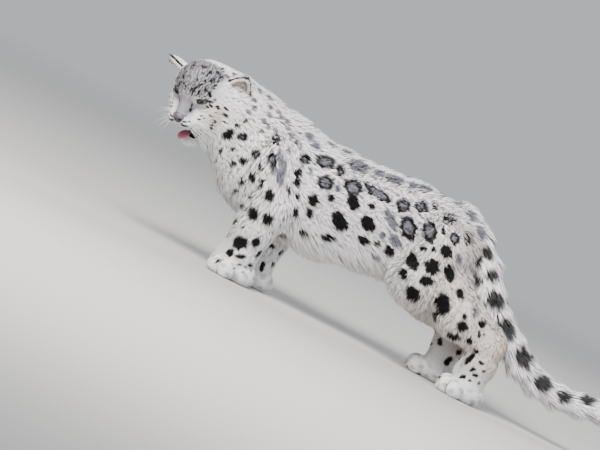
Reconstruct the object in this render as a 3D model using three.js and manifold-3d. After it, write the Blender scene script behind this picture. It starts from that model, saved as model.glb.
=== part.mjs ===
// A snow leopard cub of about five months, standing on four paws with its head turned to its left and its
// mouth a little open. Millimetres, +Z up, nose towards -X, its left side towards -Y.
import * as THREE from "three";
import { mergeVertices } from "three/addons/utils/BufferGeometryUtils.js";
import Module from "manifold-3d";

const wasm = await Module();
wasm.setup();

// Driving sizes
const GAP = 0.3; // between nodes that touch

const V = (x, y, z) => new THREE.Vector3(x, y, z);
const { cos, sin, min, max, hypot, sqrt, PI } = Math;
const rad = THREE.MathUtils.degToRad;

// Field of a form: less than zero inside, and about the distance in millimetres near the surface.
// A cone runs from centre a to centre b with a radius at each; slim narrows it across Y.
function cone(a, ra, b, rb, slim = 1) {
  const [ax, ay, az] = a;
  const [bx, by, bz] = b;
  const dx = bx - ax;
  const dy = (by - ay) / slim;
  const dz = bz - az;
  const length2 = dx * dx + dy * dy + dz * dz || 1;
  return (p) => {
    const px = p.x - ax;
    const py = (p.y - ay) / slim;
    const pz = p.z - az;
    const t = min(1, max(0, (px * dx + py * dy + pz * dz) / length2));
    const away = hypot(px - t * dx, py - t * dy, pz - t * dz);
    return (away - ra - t * (rb - ra)) * min(1, (1 + slim) / 2);
  };
}

// An egg is an ellipsoid with its own turned axes.
function egg(centre, radii, turn = new THREE.Matrix4()) {
  const back = turn.clone().invert();
  const q = V(0, 0, 0);
  const c = V(...centre);
  const [rx, ry, rz] = radii;
  const small = min(rx, ry, rz);
  return (p) => {
    q.copy(p).sub(c).applyMatrix4(back);
    const k = sqrt((q.x / rx) ** 2 + (q.y / ry) ** 2 + (q.z / rz) ** 2);
    const g = sqrt((q.x / rx ** 2) ** 2 + (q.y / ry ** 2) ** 2 + (q.z / rz ** 2) ** 2);
    return k < 1e-6 ? -small : (k * (k - 1)) / g;
  };
}

// Joins two fields with a fillet of about the given size.
function smooth(a, b, fillet) {
  const h = max(fillet - Math.abs(a - b), 0) / fillet;
  return min(a, b) - (h * h * fillet) / 4;
}

const joined = (forms, fillet) => (p) => forms.reduce((d, f) => smooth(d, f(p), fillet), 1e3);

// A chain of cones through stations [x, y, z, radius].
function chain(stations, slim, fillet) {
  const links = stations.slice(1).map((b, i) => {
    const a = stations[i];
    return cone(a.slice(0, 3), a[3], b.slice(0, 3), b[3], slim);
  });
  return joined(links, fillet);
}

// The head has its own frame: forward, left and up from the point between the eyes.
const HEAD = { at: V(-472.5, -66, 286.5), yaw: 65, pitch: 30, roll: 4 };
const yaw = rad(HEAD.yaw);
const pitch = rad(HEAD.pitch);
const roll = rad(HEAD.roll);
const forward = V(-cos(yaw) * cos(pitch), -sin(yaw) * cos(pitch), -sin(pitch));
const level = V(sin(yaw), -cos(yaw), 0);
const left = level.clone().applyAxisAngle(forward, roll);
const up = forward.clone().cross(left);
const headTurn = new THREE.Matrix4().makeBasis(forward, left, up);
const onHead = (f, l, u) => V(f, l, u).applyMatrix4(headTurn).add(HEAD.at).toArray();
const headEgg = (f, l, u, radii) => egg(onHead(f, l, u), radii, headTurn);
const headCone = (a, ra, b, rb) => cone(onHead(...a), ra, onHead(...b), rb);

// How much narrower than deep the body is, and the fillets where parts run together
const SLIM = { trunk: 0.76, neck: 0.74, leg: 1, tail: 1 };
const FILLET = {
  spine: 20,
  foreleg: 12,
  hindleg: 14,
  toes: 4,
  tail: 10,
  breast: 50,
  leg: 24,
  foot: 12,
  head: 24,
};

// Trunk and neck, over the coat
const trunk = chain(
  [
    [-250, 0, 232, 110],
    [-133, 0, 226, 112],
    [-45, 0, 236, 105],
    [25, 0, 245, 104],
    [115, 0, 264, 88],
  ],
  SLIM.trunk,
  FILLET.spine,
);
const neck = chain(
  [
    [-285, 0, 246, 108],
    [-345, -4, 277, 90],
    [-395, -16, 306, 72],
  ],
  SLIM.neck,
  FILLET.spine,
);

// Legs: side is -1 for the animal's left and 1 for its right.
function foreleg(side, x) {
  const y = side * 52;
  return chain(
    [
      [-262, side * 46, 250, 62],
      [-228, y, 172, 56],
      [x, y, 108, 43],
      [x - 2, y, 52, 38],
      [x - 14, y, 34, 34],
    ],
    SLIM.leg,
    FILLET.foreleg,
  );
}
function hindleg(side, x) {
  const y = side * 56;
  return chain(
    [
      [112, side * 42, 252, 76],
      [98, side * 54, 178, 66],
      [150, side * 52, 196, 54],
      [x - 72, side * 60, 150, 52],
      [x + 2, y, 128, 38],
      [x + 10, y, 80, 33],
      [x + 8, y, 36, 32],
    ],
    SLIM.leg,
    FILLET.hindleg,
  );
}

// A paw: a low pad and four toes in an arc, the toes reaching ahead of x and turned outwards.
const TOES = { at: [-1.5, -0.5, 0.5, 1.5], apart: 0.235, long: 0.215, wide: 0.15, tall: 20, up: 18.5 };
const TOES_OUT = rad(20);
const PAD = { behind: 4, up: 21, long: 0.47, wide: 0.42, tall: 26 };
function paw(x, y, long, wide) {
  const turn = TOES_OUT * Math.sign(y);
  const turned = new THREE.Matrix4().makeRotationZ(-turn);
  const toes = TOES.at.map((t) => {
    const ahead = long * (0.45 - 0.07 * t * t);
    const across = t * wide * TOES.apart;
    const toeX = x - ahead * cos(turn) + across * sin(turn);
    const toeY = y + ahead * sin(turn) + across * cos(turn);
    return egg([toeX, toeY, TOES.up], [long * TOES.long, wide * TOES.wide, TOES.tall], turned);
  });
  const pad = egg([x + PAD.behind, y, PAD.up], [long * PAD.long, wide * PAD.wide, PAD.tall]);
  return joined([pad, ...toes], FILLET.toes);
}

const PAWS = {
  foreleg_left: [-232, -52, 88, 80],
  foreleg_right: [-196, 52, 88, 80],
  hindleg_left: [280, -56, 86, 74],
  hindleg_right: [212, 56, 86, 74],
};
const LEGS = {
  foreleg_left: foreleg(-1, -238),
  foreleg_right: foreleg(1, -202),
  hindleg_left: hindleg(-1, 276),
  hindleg_right: hindleg(1, 208),
};
const paws = Object.fromEntries(Object.entries(PAWS).map(([name, size]) => [name, paw(...size)]));

// Tail stations, from the croup to the tip
const TAIL = [
  [120, 0, 322, 32],
  [170, -2, 296, 33],
  [205, -6, 262, 34],
  [236, -10, 220, 34],
  [273, -12, 182, 34],
  [315, -10, 148, 34],
  [357, -4, 120, 33],
  [400, 4, 101, 31],
  [446, 12, 93, 29],
  [495, 20, 96, 28],
  [546, 26, 106, 27],
  [600, 28, 120, 27],
  [650, 24, 138, 26],
  [682, 18, 150, 22],
];

// Head, over the coat
const skull = joined(
  [
    headEgg(-50, 0, 8, [64, 60, 50]),
    headEgg(-32, 0, 12, [36, 42, 36]),
    headEgg(-36, 36, -34, [38, 28, 34]),
    headEgg(-36, -36, -34, [38, 28, 34]),
    headEgg(-54, 0, -30, [50, 54, 42]),
  ],
  20,
);
const muzzle = joined(
  [
    headCone([-8, 0, -4], 18, [19, 0, -29], 12),
    headEgg(13, 13, -46, [20, 18, 13]),
    headEgg(13, -13, -46, [20, 18, 13]),
    headEgg(-10, 20, -44, [26, 22, 22]),
    headEgg(-10, -20, -44, [26, 22, 22]),
  ],
  10,
);
const jaw = joined([headCone([-52, 0, -70], 30, [-34, 0, -96], 14), headEgg(-26, 0, -101, [17, 15, 11])], 12);
const head = joined([skull, muzzle, jaw], 14);

const breast = (p) => smooth(trunk(p), neck(p), FILLET.breast);
const body = (p) => {
  let d = breast(p);
  for (const leg of Object.values(LEGS)) d = smooth(d, leg(p), FILLET.leg);
  for (const foot of Object.values(paws)) d = smooth(d, foot(p), FILLET.foot);
  return smooth(d, head(p), FILLET.head);
};

// Meshing a field: one vertex for each cell that the surface crosses, and a quad round each crossed edge.
function lines(low, high, step) {
  const count = Math.ceil((high - low) / step);
  return Array.from({ length: count + 1 }, (_, i) => low + ((high - low) * i) / count);
}

function skin(field, xs, ys, zs) {
  const [nx, ny, nz] = [xs.length, ys.length, zs.length];
  const at = (i, j, k) => (i * ny + j) * nz + k;
  const value = new Float32Array(nx * ny * nz).fill(1);
  const p = V(0, 0, 0);
  for (let i = 1; i < nx - 1; i++)
    for (let j = 1; j < ny - 1; j++)
      for (let k = 1; k < nz - 1; k++) value[at(i, j, k)] = field(p.set(xs[i], ys[j], zs[k])) || 1e-6;
  fixDiagonals(value, nx, ny, nz, at);
  const vertex = new Int32Array(nx * ny * nz).fill(-1);
  const points = [];
  for (let i = 0; i < nx - 1; i++)
    for (let j = 0; j < ny - 1; j++)
      for (let k = 0; k < nz - 1; k++) {
        const found = crossing(value, at, i, j, k, xs, ys, zs);
        if (!found) continue;
        vertex[at(i, j, k)] = points.length / 3;
        points.push(...found);
      }
  const faces = [];
  const quad = (a, b, c, d, inside) => {
    const order = inside ? [a, b, c, a, c, d] : [a, c, b, a, d, c];
    faces.push(...order);
  };
  for (let i = 0; i < nx - 1; i++)
    for (let j = 0; j < ny - 1; j++)
      for (let k = 0; k < nz - 1; k++) {
        const here = value[at(i, j, k)] < 0;
        const v = (a, b, c) => vertex[at(i - a, j - b, k - c)];
        const turns = (a, b, c) => here !== value[at(i + a, j + b, k + c)] < 0;
        if (j && k && turns(1, 0, 0)) quad(v(0, 1, 1), v(0, 0, 1), v(0, 0, 0), v(0, 1, 0), here);
        if (i && k && turns(0, 1, 0)) quad(v(1, 0, 1), v(1, 0, 0), v(0, 0, 0), v(0, 0, 1), here);
        if (i && j && turns(0, 0, 1)) quad(v(1, 1, 0), v(0, 1, 0), v(0, 0, 0), v(1, 0, 0), here);
      }
  return solid(points, faces);
}

// Where two corners of a cell's face are inside and the other two, across from each other, are outside, one
// corner changes side, so that the surface never touches itself.
function fixDiagonals(value, nx, ny, nz, at) {
  const sides = [
    [[1, 0, 0], [0, 1, 0]],
    [[1, 0, 0], [0, 0, 1]],
    [[0, 1, 0], [0, 0, 1]],
  ];
  for (let changed = true; changed; ) {
    changed = false;
    for (let i = 1; i < nx - 2; i++)
      for (let j = 1; j < ny - 2; j++)
        for (let k = 1; k < nz - 2; k++)
          for (const [a, b] of sides) {
            const corner = (m, n) =>
              at(i + m * a[0] + n * b[0], j + m * a[1] + n * b[1], k + m * a[2] + n * b[2]);
            const c = [corner(0, 0), corner(1, 0), corner(1, 1), corner(0, 1)];
            const s = c.map((q) => value[q] < 0);
            if (s[0] !== s[2] || s[1] !== s[3] || s[0] === s[1]) continue;
            const out = c.filter((q) => value[q] >= 0).sort((m, n) => value[m] - value[n]);
            value[out[0]] = -1e-3;
            changed = true;
          }
  }
}

const CORNERS = [0, 1, 2, 3, 4, 5, 6, 7].map((n) => [n & 1, (n >> 1) & 1, n >> 2]);
const EDGES = [];
for (let a = 0; a < 8; a++) for (const bit of [1, 2, 4]) if (!(a & bit)) EDGES.push([a, a | bit]);

function crossing(value, at, i, j, k, xs, ys, zs) {
  const v = CORNERS.map(([a, b, c]) => value[at(i + a, j + b, k + c)]);
  const where = (n) => {
    const [a, b, c] = CORNERS[n];
    return [xs[i + a], ys[j + b], zs[k + c]];
  };
  const sum = [0, 0, 0];
  let count = 0;
  for (const [m, n] of EDGES) {
    if (v[m] < 0 === v[n] < 0) continue;
    const t = v[m] / (v[m] - v[n]);
    const [a, b] = [where(m), where(n)];
    for (let q = 0; q < 3; q++) sum[q] += a[q] + t * (b[q] - a[q]);
    count++;
  }
  return count ? sum.map((s) => s / count) : null;
}

// Closed meshes and the solids that manifold-3d joins and cuts
function solid(points, faces) {
  const mesh = new wasm.Mesh({
    numProp: 3,
    vertProperties: new Float32Array(points),
    triVerts: new Uint32Array(faces),
  });
  return new wasm.Manifold(mesh);
}

function fromGeometry(geometry) {
  const bare = geometry.clone();
  for (const name of ["normal", "uv"]) bare.deleteAttribute(name);
  const merged = mergeVertices(bare, 1e-3);
  return solid(merged.attributes.position.array, merged.index.array);
}

const box = (low, high) => {
  const size = V(...high).sub(V(...low));
  const middle = V(...high).add(V(...low)).multiplyScalar(0.5);
  return fromGeometry(new THREE.BoxGeometry(size.x, size.y, size.z).translate(...middle.toArray()));
};

// A half space as a slab 2 m wide, starting at a point and reaching along the normal.
const REACH = 1000;
function beyond(point, normal) {
  const turn = new THREE.Quaternion().setFromUnitVectors(V(0, 0, 1), V(...normal).normalize());
  const block = new THREE.BoxGeometry(2 * REACH, 2 * REACH, REACH).translate(0, 0, REACH / 2);
  return fromGeometry(block.applyQuaternion(turn).translate(...point));
}

// A capsule between two points, to part a leg from the trunk with a round face.
function capsule(a, b, radius) {
  const along = V(...b).sub(V(...a));
  const shape = new THREE.CapsuleGeometry(radius, along.length(), 3, 12);
  const turn = new THREE.Quaternion().setFromUnitVectors(V(0, 1, 0), along.clone().normalize());
  const middle = V(...a).add(V(...b)).multiplyScalar(0.5);
  return fromGeometry(shape.applyQuaternion(turn).translate(...middle.toArray()));
}

// A ball squashed to three radii along the head's axes, or along the part's own.
const ball = (centre, radii, turn = new THREE.Matrix4(), grow = 0, sides = 20) =>
  fromGeometry(
    new THREE.SphereGeometry(1, sides, Math.round(sides * 0.6))
      .scale(...radii.map((r) => r + grow))
      .applyMatrix4(turn)
      .translate(...centre),
  );

// A round tube through stations [x, y, z, radius] with rounded ends.
function tube(stations, sides, step, grow = 0) {
  const curve = new THREE.CatmullRomCurve3(stations.map((s) => V(...s.slice(0, 3))), false, "centripetal");
  const rings = Math.ceil(curve.getLength() / step);
  const size = (u) => {
    const at = u * (stations.length - 1);
    const i = min(stations.length - 2, Math.floor(at));
    return stations[i][3] + (stations[i + 1][3] - stations[i][3]) * (at - i);
  };
  const points = [];
  const total = curve.getLength();
  const side = V(0, 1, 0);
  const place = (u, radius) => {
    const centre = curve.getPoint(u);
    const across = side.clone().cross(curve.getTangent(u)).normalize();
    for (let s = 0; s < sides; s++) {
      const a = (2 * PI * s) / sides;
      const out = side.clone().multiplyScalar(sin(a)).addScaledVector(across, cos(a));
      points.push(...out.multiplyScalar(radius).add(centre).toArray());
    }
  };
  for (let r = 0; r <= rings; r++) {
    const u = r / rings;
    const radius = size(u) + grow;
    const toEnd = min(u, 1 - u) * total;
    const round = toEnd < radius ? sqrt(max(0.09, 1 - (1 - toEnd / radius) ** 2)) : 1;
    place(u, radius * round);
  }
  const ends = [curve.getPoint(0), curve.getPoint(1)];
  ends[0].addScaledVector(curve.getTangent(0), -2 - grow);
  ends[1].addScaledVector(curve.getTangent(1), 2 + grow);
  points.push(...ends[0].toArray(), ...ends[1].toArray());
  const faces = [];
  const first = points.length / 3 - 2;
  for (let s = 0; s < sides; s++) {
    const next = (s + 1) % sides;
    faces.push(first, next, s);
    faces.push(first + 1, rings * sides + s, rings * sides + next);
    for (let r = 0; r < rings; r++) {
      const [a, b, c, d] = [r * sides + s, r * sides + next, (r + 1) * sides + next, (r + 1) * sides + s];
      faces.push(a, b, c, a, c, d);
    }
  }
  return solid(points, faces);
}

const largest = (s) => s.decompose().sort((a, b) => b.volume() - a.volume())[0];

// Locks of the coat. Each is flat, tapers and bends, and its root is sunk in the form that it grows from.
// The numbers come from one seed, so that every build is the same.
let seed = 29;
function random(low, high) {
  seed = (seed * 16807) % 2147483647;
  return low + ((high - low) * seed) / 2147483647;
}
const LOCK = { sunk: 13, rings: [0, 0.45, 0.8], taper: [0.9, 0.85, 0.5], flat: 0.26 };

// The place where a ray from inside a form leaves it
function leaves(form, from, toward) {
  const p = V(...from);
  const ray = V(...toward).normalize();
  for (let i = 0; i < 25; i++) p.addScaledVector(ray, -form(p));
  return p;
}

function outward(form, p) {
  const slope = (axis) => form(p.clone().add(axis)) - form(p.clone().sub(axis));
  return V(slope(V(1, 0, 0)), slope(V(0, 1, 0)), slope(V(0, 0, 1))).normalize();
}

function lock({ root, out, way, long, wide, lift, droop, grow = 0 }) {
  const along = way.clone().addScaledVector(out, -way.dot(out)).normalize();
  const side = out.clone().cross(along);
  const centre = (t) =>
    root
      .clone()
      .addScaledVector(along, long * t)
      .addScaledVector(out, (LOCK.sunk + lift) * t ** 0.7 - LOCK.sunk)
      .add(V(0, 0, -droop * long * t * t));
  const points = [];
  LOCK.rings.forEach((t, i) => {
    const across = (wide / 2) * LOCK.taper[i] + grow;
    const thick = (wide / 2) * LOCK.taper[i] * LOCK.flat + grow;
    for (const [a, b] of [[1, 0], [0, 1], [-1, 0], [0, -1]]) {
      points.push(...centre(t).addScaledVector(side, a * across).addScaledVector(out, b * thick).toArray());
    }
  });
  points.push(...centre(1 + grow / long).toArray());
  const tip = points.length / 3 - 1;
  const faces = [0, 2, 1, 0, 3, 2];
  for (let s = 0; s < 4; s++) {
    const next = (s + 1) % 4;
    for (let r = 0; r < LOCK.rings.length - 1; r++) {
      const [a, b, c, d] = [r * 4 + s, r * 4 + next, r * 4 + 4 + next, r * 4 + 4 + s];
      faces.push(a, b, c, a, c, d);
    }
    faces.push(tip - 4 + s, tip - 4 + next, tip);
  }
  return solid(points, faces);
}

// A lock on a form: rooted where the ray from inside leaves it, with its size varied a little.
function rooted(form, { from, toward, way, long, wide, lift, droop }) {
  const root = leaves(form, from, toward);
  const sway = V(random(-0.12, 0.12), random(-0.12, 0.12), random(-0.08, 0.08));
  return {
    root,
    out: outward(form, root),
    way: V(...way).normalize().add(sway),
    long: long * random(0.85, 1.15),
    wide: wide * random(0.9, 1.1),
    lift: lift * random(0.6, 1.4),
    droop,
  };
}
const grown = (spec) => ({ ...spec, grow: GAP });
const withLocks = (shape, specs) => specs.reduce((all, spec) => all.add(lock(spec)), shape);
const clearOf = (shape, specs) => specs.reduce((all, spec) => all.subtract(lock(grown(spec))), shape);

// Cell sizes of the meshes
const CELL = {
  torso: 25,
  torsoAcross: 22,
  head: 12,
  face: 8,
  leg: 19,
  legUp: 20,
  legAcross: 14,
  paw: 10,
  tail: 24,
};
const TAIL_SIDES = 12;

const floor = box([-REACH, -REACH, -REACH], [REACH, REACH, 0]);
const PART = {
  neckBack: { at: [-316, 0, 250], along: [-0.93, -0.02, 0.36] },
  neckFront: { at: [-392, -14, 290], along: [-0.86, -0.45, 0.2] },
  tailBase: { at: [257, -11, 199], along: [0.69, 0, -0.72] },
  tailMiddle: { at: [424, 8, 96], along: [0.98, 0.15, -0.15] },
};
const shifted = ({ at, along }, by) => V(...at).addScaledVector(V(...along).normalize(), by).toArray();
const after = (part) => beyond(shifted(part, GAP / 2), part.along);
const before = (part) => beyond(shifted(part, -GAP / 2), part.along.map((c) => -c));

const nodes = {};

// The tail, in three lengths, with locks in rings round it
const TAIL_LOCKS = { first: 0.17, last: 0.89, rings: 7, around: 3, long: 64, wide: 50, lift: 5, droop: 0.02 };
const tailCurve = new THREE.CatmullRomCurve3(TAIL.map((s) => V(...s.slice(0, 3))), false, "centripetal");
const tailForm = chain(TAIL, SLIM.tail, FILLET.tail);
const tailLocks = [];
for (let ring = 0; ring < TAIL_LOCKS.rings; ring++) {
  const t = TAIL_LOCKS.first + ((TAIL_LOCKS.last - TAIL_LOCKS.first) * ring) / (TAIL_LOCKS.rings - 1);
  const from = tailCurve.getPoint(t);
  const way = tailCurve.getTangent(t);
  const across = V(0, 1, 0);
  const over = across.clone().cross(way).normalize();
  for (let n = 0; n < TAIL_LOCKS.around; n++) {
    const a = (2 * PI * (n + (ring % 2) / 2)) / TAIL_LOCKS.around + random(-0.2, 0.2);
    const toward = over.clone().multiplyScalar(cos(a)).addScaledVector(across, sin(a)).toArray();
    tailLocks.push(rooted(tailForm, { ...TAIL_LOCKS, from: from.toArray(), toward, way: way.toArray() }));
  }
}
const tailSolid = withLocks(tube(TAIL, TAIL_SIDES, CELL.tail), tailLocks);
const tailSpace = withLocks(tube(TAIL, TAIL_SIDES, CELL.tail, GAP), tailLocks.map(grown));
nodes.tail_base = largest(tailSolid.intersect(before(PART.tailBase)));
nodes.tail_middle = largest(tailSolid.intersect(after(PART.tailBase)).intersect(before(PART.tailMiddle)));
nodes.tail_tip = largest(tailSolid.intersect(after(PART.tailMiddle)));

// Each leg is parted from the trunk by a capsule and from its foot by a plane.
const LEG_CUTS = {
  foreleg_left: {
    capsule: [[-262, -92, 226], [-240, -82, -60], 74],
    span: [[-352, -140], [-140, 0]],
    foot: "forepaw_left",
    part: { at: [-238, -52, 62], along: [0, 0, -1] },
  },
  foreleg_right: {
    capsule: [[-262, 92, 226], [-204, 82, -60], 74],
    span: [[-352, -100], [0, 140]],
    foot: "forepaw_right",
    part: { at: [-202, 52, 62], along: [0, 0, -1] },
  },
  hindleg_left: {
    capsule: [[100, -92, 212], [262, -92, 60], 86],
    span: [[0, 350], [-145, 0]],
    foot: "hindfoot_left",
    part: { at: [278, -56, 126], along: [0.6, 0, -0.8] },
  },
  hindleg_right: {
    capsule: [[100, 92, 212], [200, 92, 60], 86],
    span: [[0, 330], [0, 145]],
    foot: "hindfoot_right",
    part: { at: [210, 56, 126], along: [0.6, 0, -0.8] },
  },
};
const ELBOW = { count: 2, from: [-225, 178], down: 30, long: 44, wide: 36, lift: 4, droop: 0.05 };
const THIGH = { count: 3, from: [120, 232], down: 30, long: 56, wide: 44, lift: 4, droop: 0.05 };

// Locks down the back of a leg, on its outer side
function legLocks(name) {
  const side = name.endsWith("left") ? -1 : 1;
  const row = name.startsWith("fore") ? ELBOW : THIGH;
  return Array.from({ length: row.count }, (_, i) => {
    const from = [row.from[0], side * 66, row.from[1] - row.down * i];
    return rooted(LEGS[name], { ...row, from, toward: [1, side * 0.35, -0.1], way: [0.35, 0, -0.9] });
  });
}

const legZ = [...lines(-8, 60, CELL.paw), ...lines(60 + CELL.legUp, 330, CELL.legUp)];
const coreX = lines(-480, 240, CELL.torso);
let core = skin(body, coreX, lines(-128, 128, CELL.torsoAcross), lines(70, 410, CELL.torso));

// Fringe under the belly, and locks down the chest and throat
const BELLY = {
  count: 4,
  first: -185,
  last: 55,
  turns: [-40, 0, 40],
  long: 72,
  wide: 52,
  lift: 4,
  droop: 0.06,
};
const CHEST = { count: 3, top: 285, down: 38, turns: [-42, 0, 42], long: 52, wide: 44, lift: 1, droop: 0 };
const trunkLocks = [];
for (const turn of BELLY.turns) {
  for (let i = 0; i < BELLY.count; i++) {
    const x = BELLY.first + ((BELLY.last - BELLY.first) * (i + random(-0.15, 0.15))) / (BELLY.count - 1);
    const toward = [0, sin(rad(turn)), -cos(rad(turn))];
    const way = [0.8, toward[1] * 0.2, -0.55];
    trunkLocks.push(rooted(trunk, { ...BELLY, from: [x, 0, 235], toward, way }));
  }
}
for (const turn of CHEST.turns) {
  for (let i = 0; i < CHEST.count; i++) {
    const from = [-285 - 14 * (CHEST.count - i), -4, CHEST.top - CHEST.down * i - random(0, 12)];
    const toward = [-cos(rad(turn)), sin(rad(turn)), -0.35];
    trunkLocks.push(rooted(breast, { ...CHEST, from, toward, way: [0.3, 0, -1] }));
  }
}
core = withLocks(core, trunkLocks);

for (const [name, { capsule: cut, span, foot, part }] of Object.entries(LEG_CUTS)) {
  const [xs, ys] = span;
  const whole = skin(body, lines(...xs, CELL.leg), lines(...ys, CELL.legAcross), legZ);
  const leg = whole.intersect(capsule(...cut)).subtract(floor);
  const locks = legLocks(name);
  nodes[name] = largest(withLocks(leg.intersect(before(part)), locks).subtract(tailSpace));
  nodes[foot] = largest(clearOf(leg.intersect(after(part)), locks).subtract(tailSpace));
  core = clearOf(core.subtract(capsule(cut[0], cut[1], cut[2] + GAP)), locks);
}
core = core.subtract(tailSpace);
nodes.torso = largest(core.intersect(before(PART.neckBack)));
nodes.neck = largest(core.intersect(after(PART.neckBack)).intersect(before(PART.neckFront)));

// Head pieces, in the head's frame
const EYE = { at: [-10.5, 26, 0.5], radius: 13, lid: 2.4, slit: 6 };
// The right ear is laid out to its side, and the left ear is held up.
const EAR = { radii: [13, 26, 37], cup: [12, 19, 28], cupAhead: 9, sides: 14 };
const EARS = {
  left: { at: [-67, 66, 21], tilt: 32, turn: 28 },
  right: { at: [-63, -65, 15], tilt: 68, turn: 50 },
};
const NOSE = { at: [28, 0, -36], radii: [9, 13, 10], nostril: [5, 3, 2.6], nostrilAt: [8, 6.5, -2] };
const MOUTH = { at: [-1, 0, -77], radii: [38, 27, 15], corner: [-26, 13, -84], cornerRadii: [13, 12, 12] };
const TONGUE = { at: [-3, -1, -86], radii: [17.5, 10.5, 5.5] };
const RUFF = { count: 3, long: 44, wide: 34, lift: 3, droop: 0.04 };

const faceY = [...lines(-150, -62, CELL.face), ...lines(-62 + CELL.head, 80, CELL.head + 3)];
let headSolid = skin(body, lines(-560, -310, CELL.head), faceY, lines(170, 400, CELL.head));
const headBall = (at, radii, grow = 0, turn = headTurn, sides = 14) =>
  ball(onHead(...at), radii, turn, grow, sides);
const headWay = (f, l, u) => V(f, l, u).transformDirection(headTurn).toArray();

// Ruff: locks that point back and down from the cheeks
const ruff = [];
for (const side of [1, -1]) {
  for (let i = 0; i < RUFF.count; i++) {
    const from = onHead(-58 + 5 * i, side * 12, -4 - 26 * i);
    const toward = headWay(-0.15, side, 0);
    ruff.push(rooted(head, { ...RUFF, from, toward, way: headWay(-0.85, side * 0.25, -0.45) }));
  }
}
headSolid = withLocks(headSolid, ruff).intersect(after(PART.neckFront));

// The mouth opens between the lips, and the tongue lies on the lower jaw.
headSolid = headSolid.subtract(headBall(MOUTH.at, MOUTH.radii));
for (const side of [1, -1]) {
  const [f, l, u] = MOUTH.corner;
  headSolid = headSolid.subtract(headBall([f, side * l, u], MOUTH.cornerRadii));
}

for (const [side, name] of [[1, "left"], [-1, "right"]]) {
  const [f, l, u] = EYE.at;
  const eyeAt = [f, side * l, u];
  const r = EYE.radius;
  const lid = headBall(eyeAt, [r + EYE.lid, r + EYE.lid, r + EYE.lid]);
  const slit = headBall([f + r, side * (l + 1), u - 1], [r, r, EYE.slit]);
  headSolid = headSolid.add(lid).subtract(slit).subtract(headBall(eyeAt, [r, r, r], GAP));
  nodes["eye_" + name] = headBall(eyeAt, [r, r, r]);
  const earTurn = headTurn.clone().multiply(new THREE.Matrix4().makeRotationX(-side * rad(EARS[name].tilt)));
  earTurn.multiply(new THREE.Matrix4().makeRotationZ(side * rad(EARS[name].turn)));
  const earAt = onHead(...EARS[name].at);
  const opening = V(1, 0, 0.12).transformDirection(earTurn);
  const cupAt = V(...earAt).addScaledVector(opening, EAR.cupAhead).toArray();
  const cup = ball(cupAt, EAR.cup, earTurn, 0, EAR.sides);
  nodes["ear_" + name] = largest(ball(earAt, EAR.radii, earTurn, 0, EAR.sides).subtract(cup));
  const earSpace = ball(earAt, EAR.radii, earTurn, GAP, EAR.sides);
  headSolid = headSolid.subtract(earSpace);
  nodes.neck = nodes.neck.subtract(earSpace);
}
headSolid = headSolid.subtract(headBall(NOSE.at, NOSE.radii, GAP));
const nostril = (side) => {
  const [f, l, u] = NOSE.nostrilAt;
  return headBall([NOSE.at[0] + f, side * l, NOSE.at[2] + u], NOSE.nostril, 0, headTurn, 8);
};
nodes.nose = headBall(NOSE.at, NOSE.radii).subtract(nostril(1)).subtract(nostril(-1));
nodes.head = largest(headSolid);
nodes.tongue = largest(
  headBall(TONGUE.at, TONGUE.radii, 0, headTurn, 12).intersect(headBall(MOUTH.at, MOUTH.radii, -GAP)),
);

const COAT = new THREE.MeshStandardMaterial({ color: "#cfc8bf", roughness: 0.95, metalness: 0 });
const EYE_GLASS = new THREE.MeshStandardMaterial({ color: "#8d8f6a", roughness: 0.1, metalness: 0 });
const SKIN = new THREE.MeshStandardMaterial({ color: "#c07f7c", roughness: 0.5, metalness: 0 });
const finishOf = (name) => (name.startsWith("eye") ? EYE_GLASS : /nose|tongue/.test(name) ? SKIN : COAT);

const cub = new THREE.Group();
for (const [name, shape] of Object.entries(nodes)) {
  const found = shape.getMesh();
  const geometry = new THREE.BufferGeometry();
  geometry.setAttribute("position", new THREE.BufferAttribute(new Float32Array(found.vertProperties), 3));
  geometry.setIndex(new THREE.BufferAttribute(found.triVerts, 1));
  geometry.computeVertexNormals();
  const mesh = new THREE.Mesh(geometry, finishOf(name));
  mesh.name = name;
  cub.add(mesh);
}
// The origin is under the middle of the whole, on the floor.
const span = new THREE.Box3().setFromObject(cub);
const middle = span.getCenter(V(0, 0, 0));
cub.position.set(-middle.x, -middle.y, -span.min.z);

export default cub;
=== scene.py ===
"""A snow leopard cub of about five months, life size, standing with its head turned to its left.

The body is one skin drawn from a skeleton of round forms, and its coat is thousands of thin tapered tufts
that lie along it. Lengths are millimetres in the skeleton's own frame (nose towards -X, left side towards -Y,
+Z up) until a mesh is made, in metres.
"""
import math

import bpy
import numpy as np
from mathutils import Matrix, Vector, kdtree


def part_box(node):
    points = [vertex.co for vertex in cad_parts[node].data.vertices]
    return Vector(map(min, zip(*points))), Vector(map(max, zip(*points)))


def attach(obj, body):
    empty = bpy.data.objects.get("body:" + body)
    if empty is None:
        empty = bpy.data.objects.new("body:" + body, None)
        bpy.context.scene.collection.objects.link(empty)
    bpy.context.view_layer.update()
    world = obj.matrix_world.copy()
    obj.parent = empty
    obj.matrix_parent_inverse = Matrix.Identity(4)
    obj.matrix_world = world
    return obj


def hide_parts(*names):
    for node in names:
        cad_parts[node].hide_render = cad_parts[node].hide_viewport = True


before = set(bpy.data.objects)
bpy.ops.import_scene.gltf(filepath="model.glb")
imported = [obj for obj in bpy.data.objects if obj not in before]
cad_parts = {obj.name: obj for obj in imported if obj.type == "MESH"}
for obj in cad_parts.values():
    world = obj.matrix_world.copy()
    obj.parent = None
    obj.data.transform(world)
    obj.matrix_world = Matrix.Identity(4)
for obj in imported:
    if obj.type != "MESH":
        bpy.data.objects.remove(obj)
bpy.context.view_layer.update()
MM = 0.001
rng = np.random.default_rng(7)


def unit(v):
    """Vectors of length one, row by row."""
    v = np.asarray(v, float)
    return v / np.maximum(np.linalg.norm(v, axis=-1, keepdims=True), 1e-9)


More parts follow.
